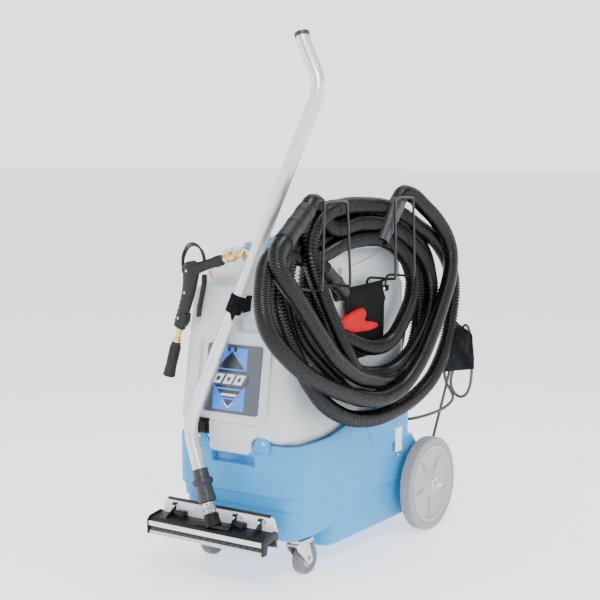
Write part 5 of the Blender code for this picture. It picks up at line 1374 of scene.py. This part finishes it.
def makeGun():
    y = gun["y"]
    bm = bmesh.new()
    sectioned(bm, [(onGun(-0.192, 0.688), 0.0175, 0.013), (onGun(-0.191, 0.69), 0.0198, 0.015),
                   (onGun(-0.186, 0.706), 0.019, 0.015), (onGun(-0.17, 0.748), 0.0195, 0.015),
                   (onGun(-0.158, 0.785), 0.0215, 0.0155), (onGun(-0.151, 0.815), 0.024, 0.0165),
                   (onGun(-0.147, 0.845), 0.0275, 0.0175), (onGun(-0.147, 0.862), 0.0275, 0.0175),
                   (onGun(-0.149, 0.874), 0.0215, 0.015), (onGun(-0.15, 0.878), 0.015, 0.011)], 12, turn=15)
    sectioned(bm, [(onGun(-0.172, 0.85), 0.012, 0.012), (onGun(-0.168, 0.8515), 0.0165, 0.0155),
                   (onGun(-0.125, 0.86), 0.0175, 0.0165), (onGun(-0.1, 0.869), 0.015, 0.015),
                   (onGun(-0.074, 0.878), 0.015, 0.015), (onGun(-0.07, 0.8792), 0.0172, 0.0165),
                   (onGun(-0.052, 0.8852), 0.0165, 0.016), (onGun(-0.05, 0.886), 0.0145, 0.014)])
    cutOut(bm, [(-0.19, 0.69), (-0.172, 0.689), (-0.16, 0.705), (-0.156, 0.73), (-0.176, 0.73)], "Y",
           y - 0.013, y + 0.013, edge=0.003)
    for i in range(6):
        z = 0.712 + 0.013 * i
        x = -0.203 + (z - 0.7) * 0.36
        block(bm, (x - 0.003, y - 0.01, z - 0.0022), (x + 0.006, y + 0.01, z + 0.0022), 0.001, 2)
    for x, z in ((-0.152, 0.852), (-0.16, 0.79), (-0.184, 0.716)):
        spun(bm, [(0, 0.0012), (0.0034, 0.0008), (0.004, 0.0), (0, 0.0)],
             (x, y - 0.0165 + (0.001 if z < 0.8 else 0), z), (0, -1, 0), 18, 1)
    piece("gunBody", bm, ["gunBlack", "steel"], stands=["spray_gun"], sharp=28, edge=(0.0016, 3, 28))
    bm = bmesh.new()
    trigger = [(-0.0045, 0.003), (0.0045, 0.001), (0.0042, -0.025), (-0.003, -0.055), (-0.0105, -0.083),
               (-0.0175, -0.12), (-0.0265, -0.119), (-0.0225, -0.09), (-0.014, -0.06), (-0.0065, -0.025)]
    cutOut(bm, [(-0.104 + dx, 0.841 + dz) for dx, dz in trigger], "Y", y - 0.0021, y + 0.0139,
           edge=0.0024, segments=3)
    piece("gunTrigger", bm, ["gunBlack"], "gun_trigger", ["gun_trigger"])
    tip, back = onGun(-0.05, 0.886), onGun(-0.125, 0.86)
    way = (tip - back).normalized()
    bm = bmesh.new()
    knurled = [(0.0, 0.0), (0.0095, 0.0), (0.0095, 0.007), (0.0125, 0.008), (0.0128, 0.016),
               (0.0105, 0.018), (0.0105, 0.021), (0.0138, 0.022), (0.0142, 0.036), (0.013, 0.04),
               (0.01, 0.043), (0.0092, 0.048), (0.0, 0.048)]
    spun(bm, rounded(knurled, 0.0007), tip, way, 36)
    ridges(bm, tip, way, 30, 0.0139, 0.029, (0.0014, 0.0013, 0.0125))
    piece("gunCoupling", bm, ["brass"], stands=["gun_coupling"], sharp=30)
    start = tip + way * 0.048
    bm = bmesh.new()
    drum(bm, start - way * 0.002, start + way * 0.008, 0.0085, segments=6, edge=0.0006)
    bmesh.ops.create_uvsphere(bm, u_segments=24, v_segments=16, radius=0.0105,
                              matrix=Matrix.Translation(start + way * 0.012))
    elbow = start + way * 0.012
    drum(bm, elbow, (elbow.x, -0.262, 0.868), 0.0078, 0.0088, 24)
    drum(bm, (elbow.x, -0.262, 0.868), (elbow.x, -0.24, 0.858), 0.0125, segments=6, edge=0.0008)
    piece("waterOutlet", bm, ["brass"], stands=["water_outlet"], sharp=30)
    top, aim = Vector((-0.1895, y, 0.687)), Vector((-0.3, 0, -1)).normalized()
    bm = bmesh.new()
    waist = [(0.0, 0.0), (0.0105, 0.0), (0.0105, 0.007), (0.0098, 0.009), (0.0072, 0.018), (0.0068, 0.023),
             (0.009, 0.031), (0.0098, 0.034), (0.0098, 0.044), (0.0, 0.044)]
    spun(bm, rounded(waist, 0.0008), top, aim, 32)
    hexNut(bm, top + aim * 0.033, aim, 0.0112, 0.007)
    piece("gunNeck", bm, ["brass"], stands=["gun_neck"], sharp=30)
    bm = bmesh.new()
    nozzle = [(0.0, 0.0), (0.0105, 0.0), (0.0138, 0.003), (0.0146, 0.01), (0.0152, 0.04), (0.016, 0.07),
              (0.0176, 0.096), (0.0185, 0.099), (0.0185, 0.1025), (0.0172, 0.104), (0.013, 0.104),
              (0.012, 0.096), (0.0, 0.096)]
    start = top + aim * 0.0443
    spun(bm, rounded(nozzle, 0.0012), start, aim, 40)
    ridges(bm, start, aim, 12, 0.015, 0.04, (0.0024, 0.0028, 0.056))
    piece("sprayNozzle", bm, ["gunBlack"], stands=["spray_nozzle"], sharp=30, edge=(0.0005, 2, 35))
    for i, (lift, shift) in enumerate(((0.0, 0.0), (-0.006, 0.006))):
        loop = smoothRoute([(-0.173, y + shift, 0.848), (-0.1785, y + shift, 0.868),
                            (-0.176, y + shift, 0.896 + lift), (-0.16, y + shift, 0.922 + lift),
                            (-0.14, y + shift, 0.93 + lift), (-0.119, y + shift, 0.922 + lift),
                            (-0.108, -0.338 + shift, 0.9), (-0.103, -0.336 + shift, 0.872)], 0.004)
        pipe(f"gunLoop_{i + 1}", loop, 0.003, "softBlack", sides=4)
    bm = bmesh.new()
    drum(bm, onGun(-0.09, 0.856), onGun(-0.086, 0.84), 0.0048, segments=16, edge=0.0004)
    drum(bm, onGun(-0.0865, 0.842), onGun(-0.085, 0.835), 0.0066, segments=6, edge=0.0005)
    piece("gunBleedScrew", bm, ["brass"], sharp=30)


# studio

def makeStudio():
    floor = bpy.data.meshes.new("studioFloor")
    bm = bmesh.new()
    bmesh.ops.create_grid(bm, x_segments=8, y_segments=8, size=80.0)
    bm.to_mesh(floor)
    bm.free()
    ground = bpy.data.objects.new("studioFloor", floor)
    bpy.context.scene.collection.objects.link(ground)
    paint("floorWhite", (0.93, 0.93, 0.935), 0.55, mottle=(2.0, 0.01), grain=(200.0, 0.02), gloss=0.25)
    glow = finishes["floorWhite"].node_tree.nodes["Principled BSDF"]
    glow.inputs["Emission Color"].default_value = (1.0, 1.0, 1.0, 1.0)
    glow.inputs["Emission Strength"].default_value = 1.0
    floor.materials.append(finishes["floorWhite"])
    lamps = [
        ("keyLamp", (1.8, -2.6, 3.4), 1.7, 125, (1.0, 0.985, 0.96)),
        ("fillLamp", (-3.0, -2.4, 2.2), 3.0, 30, (0.95, 0.975, 1.0)),
        ("topLamp", (0.2, 0.4, 3.8), 2.6, 75, (1.0, 1.0, 1.0)),
        ("edgeLamp", (3.2, 1.6, 2.0), 1.6, 30, (1.0, 1.0, 1.0)),
    ]
    for name, at, size, power, colour in lamps:
        data = bpy.data.lights.new(name, "AREA")
        data.size = size
        data.energy = power
        data.color = colour
        lamp = bpy.data.objects.new(name, data)
        bpy.context.scene.collection.objects.link(lamp)
        lamp.location = at
        lamp.rotation_euler = (Vector((0, 0, 0.6)) - Vector(at)).to_track_quat("-Z", "Y").to_euler()
    world = bpy.data.worlds.new("studioWorld")
    bpy.context.scene.world = world
    world.use_nodes = True
    # a bright band behind the machine that dims overhead
    tree = world.node_tree
    sky = tree.nodes["Background"]
    place = tree.nodes.new("ShaderNodeTexCoord")
    apart = tree.nodes.new("ShaderNodeSeparateXYZ")
    tree.links.new(place.outputs["Generated"], apart.inputs["Vector"])
    height = ramp(tree, apart.outputs["Z"], [(0.16, (1.0, 1.0, 1.0)), (0.42, (0.3, 0.305, 0.31))])
    tree.links.new(height, sky.inputs["Color"])
    sky.inputs["Strength"].default_value = 2.3


# hidden works keep their own moulded shape, with a real finish

def dressHidden():
    for name, mat in (("vacuum_motor", "steel"), ("water_pump", "blackPlastic"),
                      ("float_shutoff", "whiteSheet")):
        for obj in bpy.data.objects:
            if obj.type == "MESH" and obj.name == name:
                obj.data.materials.clear()
                obj.data.materials.append(finishes[mat])


makeCamera()
mixPaints()
makeHoseEnds()
layHose(vacuumHose, ["hose_coil"])
layHose(upperHose, [])
makePlug()
layPowerCord()
print("hoses and cord laid")
makeBase()
makeBosses()
makeTank()
makeLid()
makeLabel()
print("body moulded")
for side, word in ((-1, "left"), (1, "right")):
    makeCaster(side, word)
    makeRearWheel(side, word)
makeAxle()
makeHandle()
makeCordHook()
makeBag()
makePanel()
makeDrain()
print("wheels and back fitted")
for word in hangers:
    makeHanger(word)
makePouch()
makeMitt()
makeWand()
makeHolders()
makeNeck()
makeHead()
makeGun()
print("wand, head and gun fitted")
makeStudio()
dressHidden()
